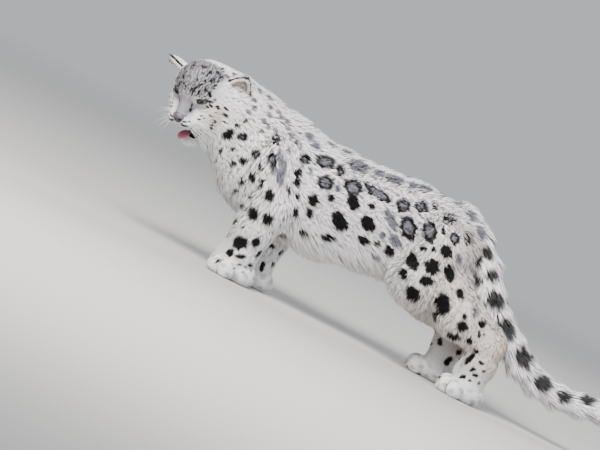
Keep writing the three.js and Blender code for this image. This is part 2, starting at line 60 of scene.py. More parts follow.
def step(low, high, x):
    """Rises smoothly from 0 at low to 1 at high."""
    t = np.clip((x - low) / (high - low), 0, 1)
    return t * t * (3 - 2 * t)


# Head frame: forward, left and up, from the point between the eyes
HEAD_AT = np.array([-472.5, -66.0, 286.5])
HEAD_YAW, HEAD_PITCH, HEAD_ROLL = np.radians([65, 30, 4])


def head_axes():
    cy, sy, cp, sp = math.cos(HEAD_YAW), math.sin(HEAD_YAW), math.cos(HEAD_PITCH), math.sin(HEAD_PITCH)
    forward = np.array([-cy * cp, -sy * cp, -sp])
    level = np.array([sy, -cy, 0.0])
    left = level * math.cos(HEAD_ROLL) + np.cross(forward, level) * math.sin(HEAD_ROLL)
    return np.array([forward, left, np.cross(forward, left)])


HEAD_AXES = head_axes()


def on_head(*place):
    return HEAD_AT + np.array(place, float) @ HEAD_AXES


def in_head(p):
    return (p - HEAD_AT) @ HEAD_AXES.T


def one_side(p):
    """Points in the head's frame, its right side brought over to its left."""
    local = in_head(p)
    local[:, 1] = np.abs(local[:, 1])
    return local


# Forms: a field is less than zero inside and about the distance near the surface.
def cone(a, ra, b, rb, slim=1.0):
    a, b = np.array(a, float), np.array(b, float)
    squash = np.array([1, 1 / slim, 1])
    axis = (b - a) * squash
    length2 = max(axis @ axis, 1e-9)

    def field(p):
        q = (p - a) * squash
        t = np.clip(q @ axis / length2, 0, 1)
        away = np.linalg.norm(q - t[:, None] * axis, axis=1)
        return (away - ra - t * (rb - ra)) * min(1, (1 + slim) / 2)

    return field


def egg(centre, radii, axes=np.eye(3)):
    radii = np.array(radii, float)

    def field(p):
        q = (p - centre) @ axes.T
        k = np.linalg.norm(q / radii, axis=1)
        g = np.linalg.norm(q / radii**2, axis=1)
        return k * (k - 1) / np.maximum(g, 1e-6)

    return field


def smooth(a, b, fillet):
    h = np.maximum(fillet - np.abs(a - b), 0) / fillet
    return np.minimum(a, b) - h * h * fillet / 4


def joined(forms, fillet):
    def field(p):
        d = forms[0](p)
        for form in forms[1:]:
            d = smooth(d, form(p), fillet)
        return d

    return field


def chain(stations, slim, fillet, bare):
    """Cones through stations (x, y, z, radius over the coat, coat depth), over the coat or bare of it."""
    size = [r - depth * bare for _, _, _, r, depth in stations]
    ends = list(zip(stations, size))
    links = [cone(a[:3], ra, b[:3], rb, slim) for (a, ra), (b, rb) in zip(ends, ends[1:])]
    return joined(links, fillet)


TRUNK = [
    (-250, 0, 232, 110, 15),
    (-133, 0, 226, 112, 16),
    (-45, 0, 236, 105, 16),
    (25, 0, 245, 104, 16),
    (115, 0, 264, 88, 14),
]
NECK = [(-285, 0, 246, 108, 14), (-345, -4, 277, 90, 13), (-395, -16, 306, 72, 11)]
TAIL = [
    (120, 0, 322, 32, 13),
    (170, -2, 296, 33, 14),
    (205, -6, 262, 34, 15),
    (236, -10, 220, 34, 15),
    (273, -12, 182, 34, 16),
    (315, -10, 148, 34, 16),
    (357, -4, 120, 33, 16),
    (400, 4, 101, 31, 15),
    (446, 12, 93, 29, 14),
    (495, 20, 96, 28, 14),
    (546, 26, 106, 27, 13),
    (600, 28, 120, 27, 13),
    (650, 24, 138, 26, 13),
    (682, 18, 150, 22, 12),
]


def foreleg(side, x):
    y = side * 52
    return [
        (-262, side * 46, 250, 62, 13),
        (-228, y, 172, 56, 12),
        (x, y, 108, 43, 8),
        (x - 2, y, 52, 38, 6),
        (x - 14, y, 34, 34, 4),
    ]


def hindleg(side, x):
    y = side * 56
    return [
        (112, side * 42, 252, 76, 14),
        (98, side * 54, 178, 66, 13),
        (150, side * 52, 196, 54, 12),
        (x - 72, side * 60, 150, 52, 11),
        (x + 2, y, 128, 38, 7),
        (x + 10, y, 80, 33, 5),
        (x + 8, y, 36, 32, 4),
    ]


PAW_COAT, TOE_COAT = 2.5, 1.6
TOES = {"ahead": 0.45, "arc": 0.07, "apart": 0.235, "long": 0.215, "wide": 0.15, "tall": 20, "up": 18.5}
TOES_OUT = math.radians(20)  # the toes are turned outwards
PAD = {"behind": 4, "up": 21, "long": 0.47, "wide": 0.42, "tall": 26}


def toes(x, y, long, wide, bare):
    """Four toes in an arc ahead of x."""
    turn = TOES_OUT * np.sign(y)
    c, s = math.cos(turn), math.sin(turn)
    axes = np.array([[c, -s, 0], [s, c, 0], [0, 0, 1]])
    radii = np.array([long * TOES["long"], wide * TOES["wide"], TOES["tall"]]) - bare * TOE_COAT
    made = []
    for t in (-1.5, -0.5, 0.5, 1.5):
        ahead, across = long * (TOES["ahead"] - TOES["arc"] * t * t), t * wide * TOES["apart"]
        place = (x - ahead * c + across * s, y + ahead * s + across * c, TOES["up"])
        made.append(egg(place, radii, axes))
    return made


def paw(x, y, long, wide, bare):
    """A low pad and its toes."""
    radii = np.array([long * PAD["long"], wide * PAD["wide"], PAD["tall"]]) - bare * PAW_COAT
    pad = egg((x + PAD["behind"], y, PAD["up"]), radii)
    return joined([pad, *toes(x, y, long, wide, bare)], 4 - 2 * bare)


STAGGER = {"foreleg": (-238, -202), "hindleg": (276, 208)}
LEGS = {
    "foreleg_left": foreleg(-1, -238),
    "foreleg_right": foreleg(1, -202),
    "hindleg_left": hindleg(-1, 276),
    "hindleg_right": hindleg(1, 208),
}
PAWS = {
    "forepaw_left": (-232, -52, 88, 80),
    "forepaw_right": (-196, 52, 88, 80),
    "hindpaw_left": (280, -56, 86, 74),
    "hindpaw_right": (212, 56, 86, 74),
}

EYE_AT, EYE_RADIUS = np.array([-10.5, 26.0, 0.5]), 13.0
EAR_AT = {1: (-67, 66, 21), -1: (-63, -65, 15)}  # left and right
EAR_TILT, EAR_TURN = {1: 32, -1: 68}, {1: 28, -1: 50}  # the right ear is laid out to its side
EAR_RADII = (13, 26, 37)
EAR_TAPER = 0.34  # how much narrower an ear is at its tip than at its middle
EAR_EDGE = {1: (-4, 3.5), -1: (-3.5, 0.5)}  # the dark line along each ear's edge, from back to front
NOSE_AT = (28, 0, -36)
MOUTH_AT, MOUTH_RADII = (-1, 0, -77), (38, 27, 15)
CORNER_AT, CORNER_RADII = (-26, 13, -84), (13, 12, 12)  # the corners of the mouth


def head_form(bare):
    """The skull, cheeks, muzzle and jaw, each with its own depth of coat."""

    def ball(place, radii, coat):
        return egg(on_head(*place), np.array(radii, float) - coat * bare, HEAD_AXES)

    def bar(a, ra, b, rb, coat):
        return cone(on_head(*a), ra - coat * bare, on_head(*b), rb - coat * bare)

    skull = joined(
        [
            ball((-50, 0, 8), (64, 60, 50), 6),
            ball((-32, 0, 12), (36, 42, 36), 4),
            ball((-36, 36, -34), (38, 28, 34), 6),
            ball((-36, -36, -34), (38, 28, 34), 6),
            ball((-54, 0, -30), (50, 54, 42), 8),
        ],
        20,
    )
    muzzle = joined(
        [
            bar((-8, 0, -4), 18, (19, 0, -29), 12, 1.5),
            ball((13, 13, -46), (20, 18, 13), 2),
            ball((13, -13, -46), (20, 18, 13), 2),
            ball((-10, 20, -44), (26, 22, 22), 3),
            ball((-10, -20, -44), (26, 22, 22), 3),
        ],
        10,
    )
    jaw = joined([bar((-52, 0, -70), 30, (-34, 0, -96), 14, 4), ball((-26, 0, -101), (17, 15, 11), 3)], 12)
    return joined([skull, muzzle, jaw], 14)


def turned(axes, tilt, turn):
    """Axes tilted about the first and then turned about the third, in degrees."""
    ct, st = math.cos(math.radians(tilt)), math.sin(math.radians(tilt))
    cz, sz = math.cos(math.radians(turn)), math.sin(math.radians(turn))
    tilted = np.array([[1, 0, 0], [0, ct, st], [0, -st, ct]]) @ axes
    return np.array([[cz, sz, 0], [-sz, cz, 0], [0, 0, 1]]) @ tilted


def ear_axes(side):
    return turned(HEAD_AXES, -side * EAR_TILT[side], side * EAR_TURN[side])


def on_ear(p, side):
    """Points in an ear's own axes (forward, across and up the ear), with its taper undone."""
    local = (p - on_head(*EAR_AT[side])) @ ear_axes(side).T
    local[:, 1] /= 1 - EAR_TAPER * np.clip(local[:, 2] / EAR_RADII[2], 0, 1)
    return local


def ear_form(side, bare):
    """A cupped shell."""
    shell = egg(np.zeros(3), np.array(EAR_RADII, float) - 2 * bare)
    cup = egg(np.array([9.5, 0, 1]), (14, 19.5, 30))

    def field(p):
        local = on_ear(p, side)
        return -smooth(-shell(local), cup(local), 3)

    return field


def eye_frame(side):
    """Place of an eye and its own axes: outwards, across to the outer corner, and up the lids."""
    place = on_head(EYE_AT[0], side * EYE_AT[1], EYE_AT[2])
    splay, slant = math.radians(24), math.radians(13)
    out = unit(np.array([math.cos(splay), side * math.sin(splay), 0.02]) @ HEAD_AXES)
    across = unit(np.array([-math.sin(splay), side * math.cos(splay), math.tan(slant)]) @ HEAD_AXES)
    across = unit(across - out * (across @ out))
    lids = np.cross(out, across) * side
    return place, np.array([out, across, lids])


EYES = {"left": eye_frame(1), "right": eye_frame(-1)}
LID_RADIUS = EYE_RADIUS + 1.3
SLIT = (12.0, 3.9)  # half the length and half the height of the opening between the lids
LID_SKIN_WIDE = 2.4  # bare skin round the opening


def regions(bare):
    """Each part of the body as a field, over the coat or bare of it."""
    made = {"trunk": chain(TRUNK, 0.76, 20, bare), "neck": chain(NECK, 0.74, 20, bare)}
    for name, stations in LEGS.items():
        made[name] = chain(stations, 1, 12 if "fore" in name else 14, bare)
    for name, size in PAWS.items():
        made[name] = paw(*size, bare)
    made["tail"] = chain(TAIL, 1, 10, bare)
    made["head"] = head_form(bare)
    made["ear_left"] = ear_form(1, bare)
    made["ear_right"] = ear_form(-1, bare)
    return made


OUTER, SKIN = regions(0), regions(1)
COAT_DEPTHS = (1.0, 20.0)  # the thinnest and the thickest coat
FILLETS = {"trunk": 1, "neck": 50, "leg": 24, "paw": 12, "tail": 18, "head": 24, "ear": 7}


REACH = 150  # how far outside its stations a region's form and fillet can be met
SOLE_LIFT = 0.6  # the skin's soles are this far above the floor


def fillet_of(name):
    return next(size for part, size in FILLETS.items() if part in name)


def extent(name):
    """A box round a region, and well past the reach of its fillet."""
    if name in PAWS:
        points = np.array([[*PAWS[name][:2], 20]])
    elif "head" in name or "ear" in name:
        points = on_head(-40, 0, -20)[None]
    else:
        table = {"trunk": TRUNK, "neck": NECK, "tail": TAIL, **LEGS}[name]
        points = np.array(table, float)[:, :3]
    return points.min(0) - REACH, points.max(0) + REACH


def whole(forms):
    """The body's field from its regions' fields."""
    boxes = {name: extent(name) for name in forms}

    def field(p):
        d = np.full(len(p), 400.0)
        for name, form in forms.items():
            low, high = boxes[name]
            near = ((p > low) & (p < high)).all(1)
            if near.any():
                d[near] = smooth(d[near], form(p[near]), fillet_of(name))
        return np.maximum(d, SOLE_LIFT - p[:, 2])

    return field


outer_field = whole(OUTER)
bare_field = whole(SKIN)


def mouth_field(p):
    """The open mouth and its two corners, less than zero inside."""
    local = one_side(p)
    middle = egg(np.array(MOUTH_AT), MOUTH_RADII)
    corner = egg(np.array(CORNER_AT), CORNER_RADII)
    return smooth(middle(local), corner(local), 4)


def skin_field(p):
    """The bare body with its lids, the openings between them and the mouth."""
    d = bare_field(p)
    near = np.linalg.norm(p - on_head(0, 0, -25), axis=1) < 95
    q = p[near]
    face = d[near]
    for place, _ in EYES.values():
        face = smooth(face, np.linalg.norm(q - place, axis=1) - LID_RADIUS, 5)
    for place, axes in EYES.values():
        local = (q - place) @ axes.T
        almond = np.hypot(local[:, 1] / (SLIT[0] - 0.4), local[:, 2] / (SLIT[1] - 0.2)) - 1
        opening = np.maximum(almond * SLIT[1], -local[:, 0])
        face = -smooth(-face, opening, 1.2)
        face = np.maximum(face, EYE_RADIUS - 1.5 - np.linalg.norm(q - place, axis=1))
    face = -smooth(-face, mouth_field(q), 3)
    d[near] = face
    return d


# The skin's mesh: one point in each cell of a grid that the surface crosses, fine round the face
def lines(*spans):
    """Grid lines from spans (start, end, spacing)."""
    counts = [max(2, round((b - a) / spacing)) for a, b, spacing in spans]
    return np.concatenate([np.linspace(a, b, n, endpoint=False) for (a, b, _), n in zip(spans, counts)])


GRID = (
    lines((-562, -540, 3), (-540, -425, 1.5), (-425, -375, 2.4), (-375, 708, 4.6)),
    lines((-128, -92, 3.4), (-92, -20, 1.6), (-20, 45, 2.6), (45, 128, 4.2)),
    lines((-6, 190, 3.8), (190, 310, 1.6), (310, 386, 2.4)),
)
BLOCK = 5  # grid lines in a block that is passed over when the surface is far from it


def sampled(field, grid):
    """The field on the grid, worked out only in blocks near the surface."""
    shape = tuple(len(axis) for axis in grid)
    cut = [np.arange(0, n, BLOCK) for n in shape]
    ends = [np.minimum(c + BLOCK, n - 1) for c, n in zip(cut, shape)]
    middle = [(axis[c] + axis[e]) / 2 for axis, c, e in zip(grid, cut, ends)]
    half = [(axis[e] - axis[c]) / 2 for axis, c, e in zip(grid, cut, ends)]
    centres = np.stack(np.meshgrid(*middle, indexing="ij"), -1).reshape(-1, 3)
    reach = np.linalg.norm(np.stack(np.meshgrid(*half, indexing="ij"), -1).reshape(-1, 3), axis=1)
    coarse = field(centres)
    blocks = [len(c) for c in cut]
    spread = lambda v: np.repeat(np.repeat(np.repeat(v.reshape(blocks), BLOCK, 0), BLOCK, 1), BLOCK, 2)
    value = spread(np.sign(coarse).astype(np.float32) * 50)[: shape[0], : shape[1], : shape[2]].copy()
    close = spread(np.abs(coarse) < reach * 1.25 + 6)[: shape[0], : shape[1], : shape[2]]
    i, j, k = np.nonzero(close)
    points = np.stack([grid[0][i], grid[1][j], grid[2][k]], 1)
    found = np.concatenate([field(part) for part in np.array_split(points, max(1, len(points) // 20000))])
    value[i, j, k] = np.where(found == 0, 1e-4, found)
    return value


def surface(value, grid):
    """Points and four-sided faces of the surface where the field is zero."""
    inside = value < 0
    corners = [(a, b, c) for a in (0, 1) for b in (0, 1) for c in (0, 1)]
    n = [s - 1 for s in inside.shape]
    part = lambda a, b, c: inside[a : a + n[0], b : b + n[1], c : c + n[2]]
    count = sum(part(*corner).astype(np.int8) for corner in corners)
    cells = (count > 0) & (count < 8)
    index = np.full(cells.shape, -1, np.int64)
    index[cells] = np.arange(cells.sum())
    cell = np.stack(np.nonzero(cells), 1)
    total, met = np.zeros((len(cell), 3)), np.zeros(len(cell))
    place = lambda at: np.stack([grid[q][at[:, q]] for q in range(3)], 1)
    for corner in corners:
        for q in range(3):
            if corner[q]:
                continue
            a = cell + corner
            b = a.copy()
            b[:, q] += 1
            va, vb = value[tuple(a.T)], value[tuple(b.T)]
            crossed = (va < 0) != (vb < 0)
            t = np.where(crossed, va / np.where(crossed, va - vb, 1), 0)[:, None]
            total += np.where(crossed[:, None], place(a) * (1 - t) + place(b) * t, 0)
            met += crossed
    points = total / met[:, None]
    faces = []
    for q in range(3):
        ahead = np.roll(inside, -1, q)
        turns = inside != ahead
        turns[tuple(slice(-1, None) if axis == q else slice(None) for axis in range(3))] = False
        for axis in range(3):
            if axis != q:
                turns[tuple(slice(0, 1) if a == axis else slice(None) for a in range(3))] = False
        at = np.stack(np.nonzero(turns), 1)
        one, two = np.eye(3, dtype=int)[(q + 1) % 3], np.eye(3, dtype=int)[(q + 2) % 3]
        round_edge = (at - one - two, at - two, at, at - one)
        quads = np.stack([index[tuple(c.T)] for c in round_edge], 1)
        flip = ~inside[tuple(at.T)]
        quads[flip] = quads[flip][:, ::-1]
        faces.append(quads)
    return points, np.concatenate(faces)


def slope(field, p, reach=0.6):
    """Outward normals of a field."""
    g = [field(p + reach * e) - field(p - reach * e) for e in np.eye(3)]
    return unit(np.stack(g, 1))


skin_points, skin_faces = surface(sampled(skin_field, GRID), GRID)
skin_normals = slope(skin_field, skin_points)
skin_points = skin_points - skin_normals * np.clip(skin_field(skin_points), -1, 1)[:, None]
print("skin", len(skin_points), "points", len(skin_faces), "faces")

# How the camera sees it: the photo's pixels are 2 mm, and its slope is undone by rolling the camera
PIXEL = 2.0
SLOPE = math.radians(27.7)
CORNER = np.array([450.0, 139.0])  # where X and Z are nought, along and across the slope, in pixels
RIGHT = np.array([math.cos(SLOPE), 0, math.sin(SLOPE)])
DOWN = np.array([math.sin(SLOPE), 0, -math.cos(SLOPE)])
AWAY = np.array([0.0, 1.0, 0.0])


def photo_place(p):
    """Where points are seen, in pixels."""
    along, below = p[:, 0] / PIXEL + CORNER[0], CORNER[1] - p[:, 2] / PIXEL
    c, s = math.cos(SLOPE), math.sin(SLOPE)
    return np.stack([c * along - s * below, s * along + c * below], 1)


# Lie of the coat
def tail_way(p):
    stations = np.array(TAIL, float)[:, :3]
    middle, way = (stations[1:] + stations[:-1]) / 2, unit(stations[1:] - stations[:-1])
    near = np.exp(-np.linalg.norm(p[:, None] - middle[None], axis=2) / 14)
    return unit(near @ way)


WAYS = {
    "trunk": (1, 0, -0.28),
    "neck": (0.9, 0, -0.5),
    "leg": (0.12, 0, -1),
    "paw": (-0.9, 0, -0.35),
}


def way_of(name, p):
    """Which way a region's hair points, before it is laid along the skin."""
    if name == "tail":
        return tail_way(p)
    if name == "head":
        return unit(p - on_head(36, 0, -34))
    if "ear" in name:
        side = 1 if "left" in name else -1
        return np.broadcast_to(unit(ear_axes(side)[2] - 0.25 * ear_axes(side)[0]), p.shape)
    return np.broadcast_to(unit(next(way for part, way in WAYS.items() if part in name)), p.shape)


def laid(p, normals):
    """The lie of the coat along the skin, and the region that each point is in."""
    names = list(SKIN)
    apart = np.stack([SKIN[name](p) for name in names], 1)
    closest = apart.argmin(1)
    weight = np.exp(-(apart - apart.min(1)[:, None]) / 9)
    way = sum(weight[:, [i]] * way_of(name, p) for i, name in enumerate(names))
    under = step(-0.35, -0.85, normals[:, 2]) * np.isin(closest, [names.index("trunk"), names.index("neck")])
    way = unit(way) + under[:, None] * np.array([0.2, 0, -0.4])
    way = way - normals * (way * normals).sum(1)[:, None]
    return unit(way), closest


skin_lie, skin_region = laid(skin_points, skin_normals)
skin_depth = np.clip(-outer_field(skin_points), *COAT_DEPTHS)
REGION = list(SKIN)
print("lie done")


def within(region, *names):
    """Which points are in any of these regions."""
    return np.isin(region, [REGION.index(name) for name in names])


# Markings, each a place in the photo (pixels), half its length and half its width (pixels) and its tilt
# (degrees, clockwise from level)
BLACK = [
    (229.7, 135, 6.5, 4.6, -25), (239.3, 125.5, 3, 2.2, 0), (246.3, 120.4, 3, 1.8, -30),
    (222, 151, 3, 2, 110), (234.2, 148.5, 2.2, 2, 0), (234.2, 163.8, 4.5, 3, -30),
    (245, 160.6, 4.5, 3.8, 20), (261, 167, 3, 2.5, 90), (252.7, 176.5, 5.5, 3.5, 80),
    (243, 181.6, 3.8, 3, 0), (263.5, 180.4, 3.8, 1.9, -5), (261.6, 186.7, 4, 2, -35),
    (271.8, 194.4, 6.2, 5, 95), (250.8, 196.3, 3.5, 2, -15), (236, 191.8, 7, 1.6, -45),
    (241.9, 206.5, 7.5, 2.4, -15), (254.6, 212.2, 6.5, 6, 90), (268.6, 218.6, 6.5, 5.2, 100),
    (243.8, 226.3, 1.8, 1.5, 0), (234.8, 221.2, 5, 2, -45), (241.9, 240.9, 8, 6.2, 0),
    (257.8, 241.6, 5, 4.8, 90), (230.4, 251.1, 4.2, 3.5, 0), (242.5, 255.6, 6, 2.2, 5),
    (260.4, 252.4, 5.5, 2.3, -38), (252, 263.9, 3.5, 2.3, 15), (300.5, 172.7, 5, 3.5, 90),
    (299.3, 182.3, 5, 3.5, 90), (313.9, 199.5, 6, 5.5, 90), (311.2, 212.9, 5.5, 4.2, 90),
    (297.3, 212.9, 4.5, 3.2, 90), (299.9, 195.7, 3, 2, 90), (291, 190.6, 5, 2.2, 70),
    (331.9, 197.2, 4, 3, 30), (340.6, 220.5, 11, 6.4, 62), (369.5, 222.7, 8.5, 6, 50),
    (364.4, 240.5, 6, 4.5, 30), (378.4, 243.7, 4, 3.3, 0), (326.8, 237.5, 5, 4, 40),
    (334.8, 240.2, 4, 3.4, -30), (305, 233.5, 5.5, 4.5, 0), (390.2, 251, 6, 4, 40), (410, 256.5, 12, 6, 60),
    (421.8, 245, 5, 2.8, 10), (432.7, 246.3, 3, 2.4, 90), (445.6, 248.4, 7.5, 6, 60),
    (432.4, 264.3, 9, 6.6, 50), (450, 271.4, 7.5, 5.5, 70), (401.5, 269.7, 7.3, 4.8, 65),
    (427.6, 278.8, 7.5, 5.5, 5), (412, 291.6, 9.2, 7.4, 75), (441.2, 302.6, 11, 7.5, 110),
    (460.7, 290.2, 5.5, 4.6, 60), (464.2, 313.1, 4.5, 2.8, 100), (460.7, 323.7, 6, 5.5, 90),
    (482.4, 320.2, 4.5, 3.4, -20), (433, 316, 6.5, 3.4, 105), (452.5, 335.5, 8, 4.4, -5),
    (468.4, 339.1, 4.5, 3, 105), (478.9, 332.1, 4, 1.6, 100), (483.8, 332.1, 2, 1.5, 0),
    (475.4, 348.9, 3.5, 2.5, 20), (468.4, 355.9, 8, 2.8, -35), (443.1, 352.4, 6.5, 3, 115),
    (481, 360.8, 3, 1.8, 30), (471.9, 366.5, 3.5, 1.8, -15), (483.1, 369.3, 2, 1.5, 0),
    (474.7, 372.8, 3.5, 1.8, 15), (462.1, 374.2, 4, 1.8, -15), (469.1, 377.7, 2, 1.2, 0),
    (478.2, 380.5, 1.6, 1.5, 0), (372.7, 204.2, 3.5, 2.8, 0), (355, 201, 8, 5.5, 75),
    (443.8, 366.5, 4, 2, -25), (437.5, 374.9, 2.5, 1.5, -40), (218.3, 259.6, 3, 1.1, -35),
    (241.5, 262.4, 2.4, 1.1, 10), (246.8, 266, 1.6, 0.9, 40), (235.6, 265.5, 1.4, 0.9, 0),
    (251.8, 268.5, 1.5, 0.9, 60), (243.5, 269.5, 1.2, 0.8, 0),
]
ROSETTES = [
    (244.4, 136.4, 5, 3.6, -10), (306.4, 158.3, 5.4, 5, 0), (326.8, 160.8, 9, 6.4, 10),
    (341.5, 168.5, 6.5, 4, 80), (326.8, 181.2, 7.5, 7, 0), (354.8, 185, 8.4, 8, 0),
    (380.4, 191.4, 14, 5, 35), (404, 202.9, 7, 6.6, 0), (421.8, 204.2, 6.8, 5.6, -30),
    (435.8, 204.2, 4, 2.6, 40), (450.5, 214.4, 7, 6.6, 0), (442.2, 225.9, 4, 2.4, 80),
    (408.4, 225.9, 10.5, 7, 85), (427.5, 227.1, 12.5, 7.4, 85), (456.3, 234.8, 7, 5.4, 80),
    (273, 158.7, 8, 4.5, 80), (278.2, 137.6, 5, 4, 0), (257.2, 153.6, 5, 4, 0), (471, 237, 7, 4, 80),
]
SMOKY = [
    (282.7, 156, 9, 3.6, 85), (285.2, 166, 9, 3.6, 85), (282, 177, 9, 4, 80), (292.2, 148.5, 6, 3, 100),
    (275.7, 167.6, 6, 3.5, 80), (312, 136.6, 4.5, 4, 0), (317.5, 144.4, 5, 4, 0),
    (334.4, 144.2, 6, 3.5, 30), (348.5, 150.6, 6, 4, 30), (361.2, 164.6, 11, 7.4, 15),
    (381.6, 172.3, 7, 4.4, 10), (395.7, 177.4, 9, 5, 15), (413.5, 183.8, 6, 5, 80),
    (427.6, 186.8, 9, 4, 10), (444, 193.2, 7, 4.6, 25), (458.8, 201.6, 6, 4.6, 40), (473, 215, 7, 4.4, 60),
    (482, 232.2, 8, 4.6, 70), (391.8, 218.2, 12, 4.4, 65), (395, 239.9, 8, 4.5, 60),
    (383.5, 234.8, 4, 3, 90), (377.8, 257.8, 4.5, 3, 10), (459.6, 258.5, 5.5, 3.4, 90),
    (475.4, 308.2, 6, 3, 95), (310, 135.7, 4.5, 3.5, 0), (338.9, 187.6, 4, 3, 90), (312.8, 171, 5, 2.4, 90),
]
TAIL_SPOTS = [
    (475.4, 282.3, 7, 5, 10), (492.2, 276.7, 7.5, 6.6, 70), (496.5, 302.6, 11, 8.5, 45),
    (507.7, 331.4, 12, 8, 65), (525.2, 359.4, 12.5, 8.6, 60), (544.4, 386.1, 10.5, 8.4, 35),
    (566.6, 396.6, 8.4, 6.4, 10), (587, 400, 7, 4.6, 15), (488, 254.2, 8, 5, 60), (472, 258.5, 7, 3.4, 100),
    (500, 353.8, 5, 3.2, 55),
]
NECK_DOTS = [
    (261.5, 90), (271, 97), (273, 106.5), (280.4, 111.6), (271, 114.7), (283, 116.7), (289, 120.8),
    (265, 120), (269.7, 126), (263.6, 131), (277.3, 130), (279, 140), (284, 137), (294.5, 135),
    (301.8, 145.3), (268.7, 141), (256.5, 108), (250.5, 112.5), (255.8, 99.6), (300, 139), (290, 128),
]
FACE_BARS = [
    (193.7, 94.2, 2.5, 0.8, 102), (195.3, 89.9, 2.6, 0.9, -60), (198.3, 86.2, 2.8, 1.1, -42),
    (203.2, 83.4, 3.4, 1.2, -21), (201.3, 91.8, 3.2, 1.2, -63), (208.2, 88.4, 3.1, 1.3, 100),
    (207.2, 95.9, 1.2, 0.9, 0), (213.1, 93.9, 4.2, 1.7, 70), (217.7, 99.6, 1.5, 1.2, 0),
    (212.9, 101.9, 3.8, 1.3, 8), (213.6, 105.6, 2.2, 1.4, 40), (220.6, 107.3, 3.1, 1.6, 55),
    (228, 108.8, 3.3, 1.1, 38), (209.6, 106.3, 2, 1, 35), (227.8, 114.7, 3.4, 1.6, 35),
    (218.9, 112, 2.2, 0.7, 5), (213.6, 116.3, 2.5, 0.8, 10), (206.2, 117.3, 1.5, 0.8, 0),
    (203.2, 115, 1.3, 0.9, 0), (201.2, 118.7, 2, 1, 20), (216.9, 121.4, 1.8, 1.7, 0),
    (226.3, 121.7, 2.3, 1.3, 25), (213.7, 125.9, 2.9, 1.6, -60), (212.9, 128.6, 2.2, 1.5, -20),
    (239, 126.4, 3, 2.1, -10), (246.4, 121, 2.8, 1.6, -30), (212.2, 71.5, 2.3, 1.9, 0),
    (208.9, 74.5, 1.4, 1.6, 0), (205.9, 72.8, 1, 1.2, 0), (220.1, 71.9, 3.1, 1.3, 55),
    (223.8, 68.1, 1.8, 1.5, 0), (224, 76.3, 2, 1.3, -10), (229.7, 76.3, 3.1, 1.4, 42),
    (235.4, 73.5, 2.1, 1.7, 40), (213.6, 79.8, 2, 1.8, 0), (216.9, 79.2, 2.5, 1.1, 85),
    (221.1, 80.5, 1.6, 1.2, 0), (208.1, 79.5, 1.9, 1.2, 70), (218.3, 84.7, 2.1, 1.3, -20),
    (216.4, 87.9, 1.5, 1.1, 40), (199.9, 78.8, 1.7, 1.2, 60), (187.5, 82.5, 5.6, 1.1, 107),
    (188.1, 87.2, 1.6, 1.1, 0), (193.5, 88, 1.7, 1, -60), (177.5, 80.4, 3.6, 1.3, -50),
    (184.4, 74.8, 3.6, 1, -20), (189.5, 76.3, 1.6, 0.9, 10), (189.8, 68.4, 2.3, 1, -40),
    (195.5, 64.1, 2.2, 1.1, 10), (202.9, 63, 3, 1.1, -10), (206.2, 66.1, 3, 1.1, 5),
    (193.8, 104.6, 2.2, 0.9, 102), (193, 109.3, 2.6, 1.3, 103), (186.8, 120.8, 2.8, 1, 12),
    (183.1, 123, 1.5, 0.8, 12), (186, 125, 4.2, 1, 8), (191.5, 121, 1.2, 0.8, 0),
    (187.8, 114.8, 1.4, 0.7, 0), (172.4, 103.9, 1.3, 1.8, 0), (231, 131.4, 4.5, 2.6, -30),
    (226, 136.8, 3.5, 1.8, 110),
]
DASHES_APART = 5.0  # between the fine dark strokes that run back over the brow
TAIL_SADDLES = 5  # dark saddles along the part of the tail that the picture's edge cuts off
FIRST_SADDLE = 9  # the tail's station at the first of them


def cast(x, y, among):
    """The point of the coat nearest the camera at a place in the photo."""
    off = np.linalg.norm(seen[among] - (x, y), axis=1)
    return among[np.argmin((off / 1.4) ** 2 + shown[among, 1] / 55)]


SEEN_AT = 0.8  # how far up the coat its colour is seen
shown = skin_points + skin_normals * skin_depth[:, None] * SEEN_AT
seen = photo_place(shown)
on_face = np.nonzero(within(skin_region, "head"))[0]
by_face = np.nonzero(within(skin_region, "head", "neck"))[0]
off_face = np.nonzero(~within(skin_region, "head", "ear_left", "ear_right"))[0]
on_tail = np.nonzero(within(skin_region, "tail"))[0]


SPREAD = 1.12  # how much wider a spot's roots are than the dark tips that are seen
SMOKY_OVER = 215  # made-up spots higher than this are smoky patches
RING_WIDE = 7.0  # the width of a rosette's ring


def spot(place, long, wide, tilt, deep=None):
    """A spot as a place and three half-sizes along three axes, in mm."""
    long, wide = long * SPREAD, wide * SPREAD
    c, s = math.cos(math.radians(tilt)), math.sin(math.radians(tilt))
    axes = np.array([c * RIGHT + s * DOWN, c * DOWN - s * RIGHT, AWAY])
    sizes = np.array([long, wide, deep or max(long * 0.5 + wide * 0.5, 4) * 1.25]) * PIXEL
    return np.concatenate([place, (axes / sizes[:, None]).ravel()])


def from_photo(rows, among, deep=None):
    return [spot(shown[cast(x, y, among)], a, b, tilt, deep) for x, y, a, b, tilt in rows]


def own_side(p):
    """Points of the right side brought over to the left, with the right legs' steps undone."""
    q = p.copy()
    right = p[:, 1] > 0
    back = step(40, 130, p[:, 0])
    shift = STAGGER["foreleg"][0] - STAGGER["foreleg"][1]
    shift = shift * (1 - back) + (STAGGER["hindleg"][0] - STAGGER["hindleg"][1]) * back
    low = step(190, 125, p[:, 2]) * step(420, 330, p[:, 0]) * (p[:, 1] > 8)
    q[right, 1] *= -1
    q[:, 0] += np.where(right, shift * low, 0)
    wobble = np.stack([np.sin(p[:, 2] / 31), 0 * p[:, 0], np.sin(p[:, 0] / 37)], 1)
    return np.where(right[:, None], q + 5 * wobble, q)


def own_face(p):
    """Points of the head's right side brought over to its left."""
    return HEAD_AT + one_side(p) @ HEAD_AXES


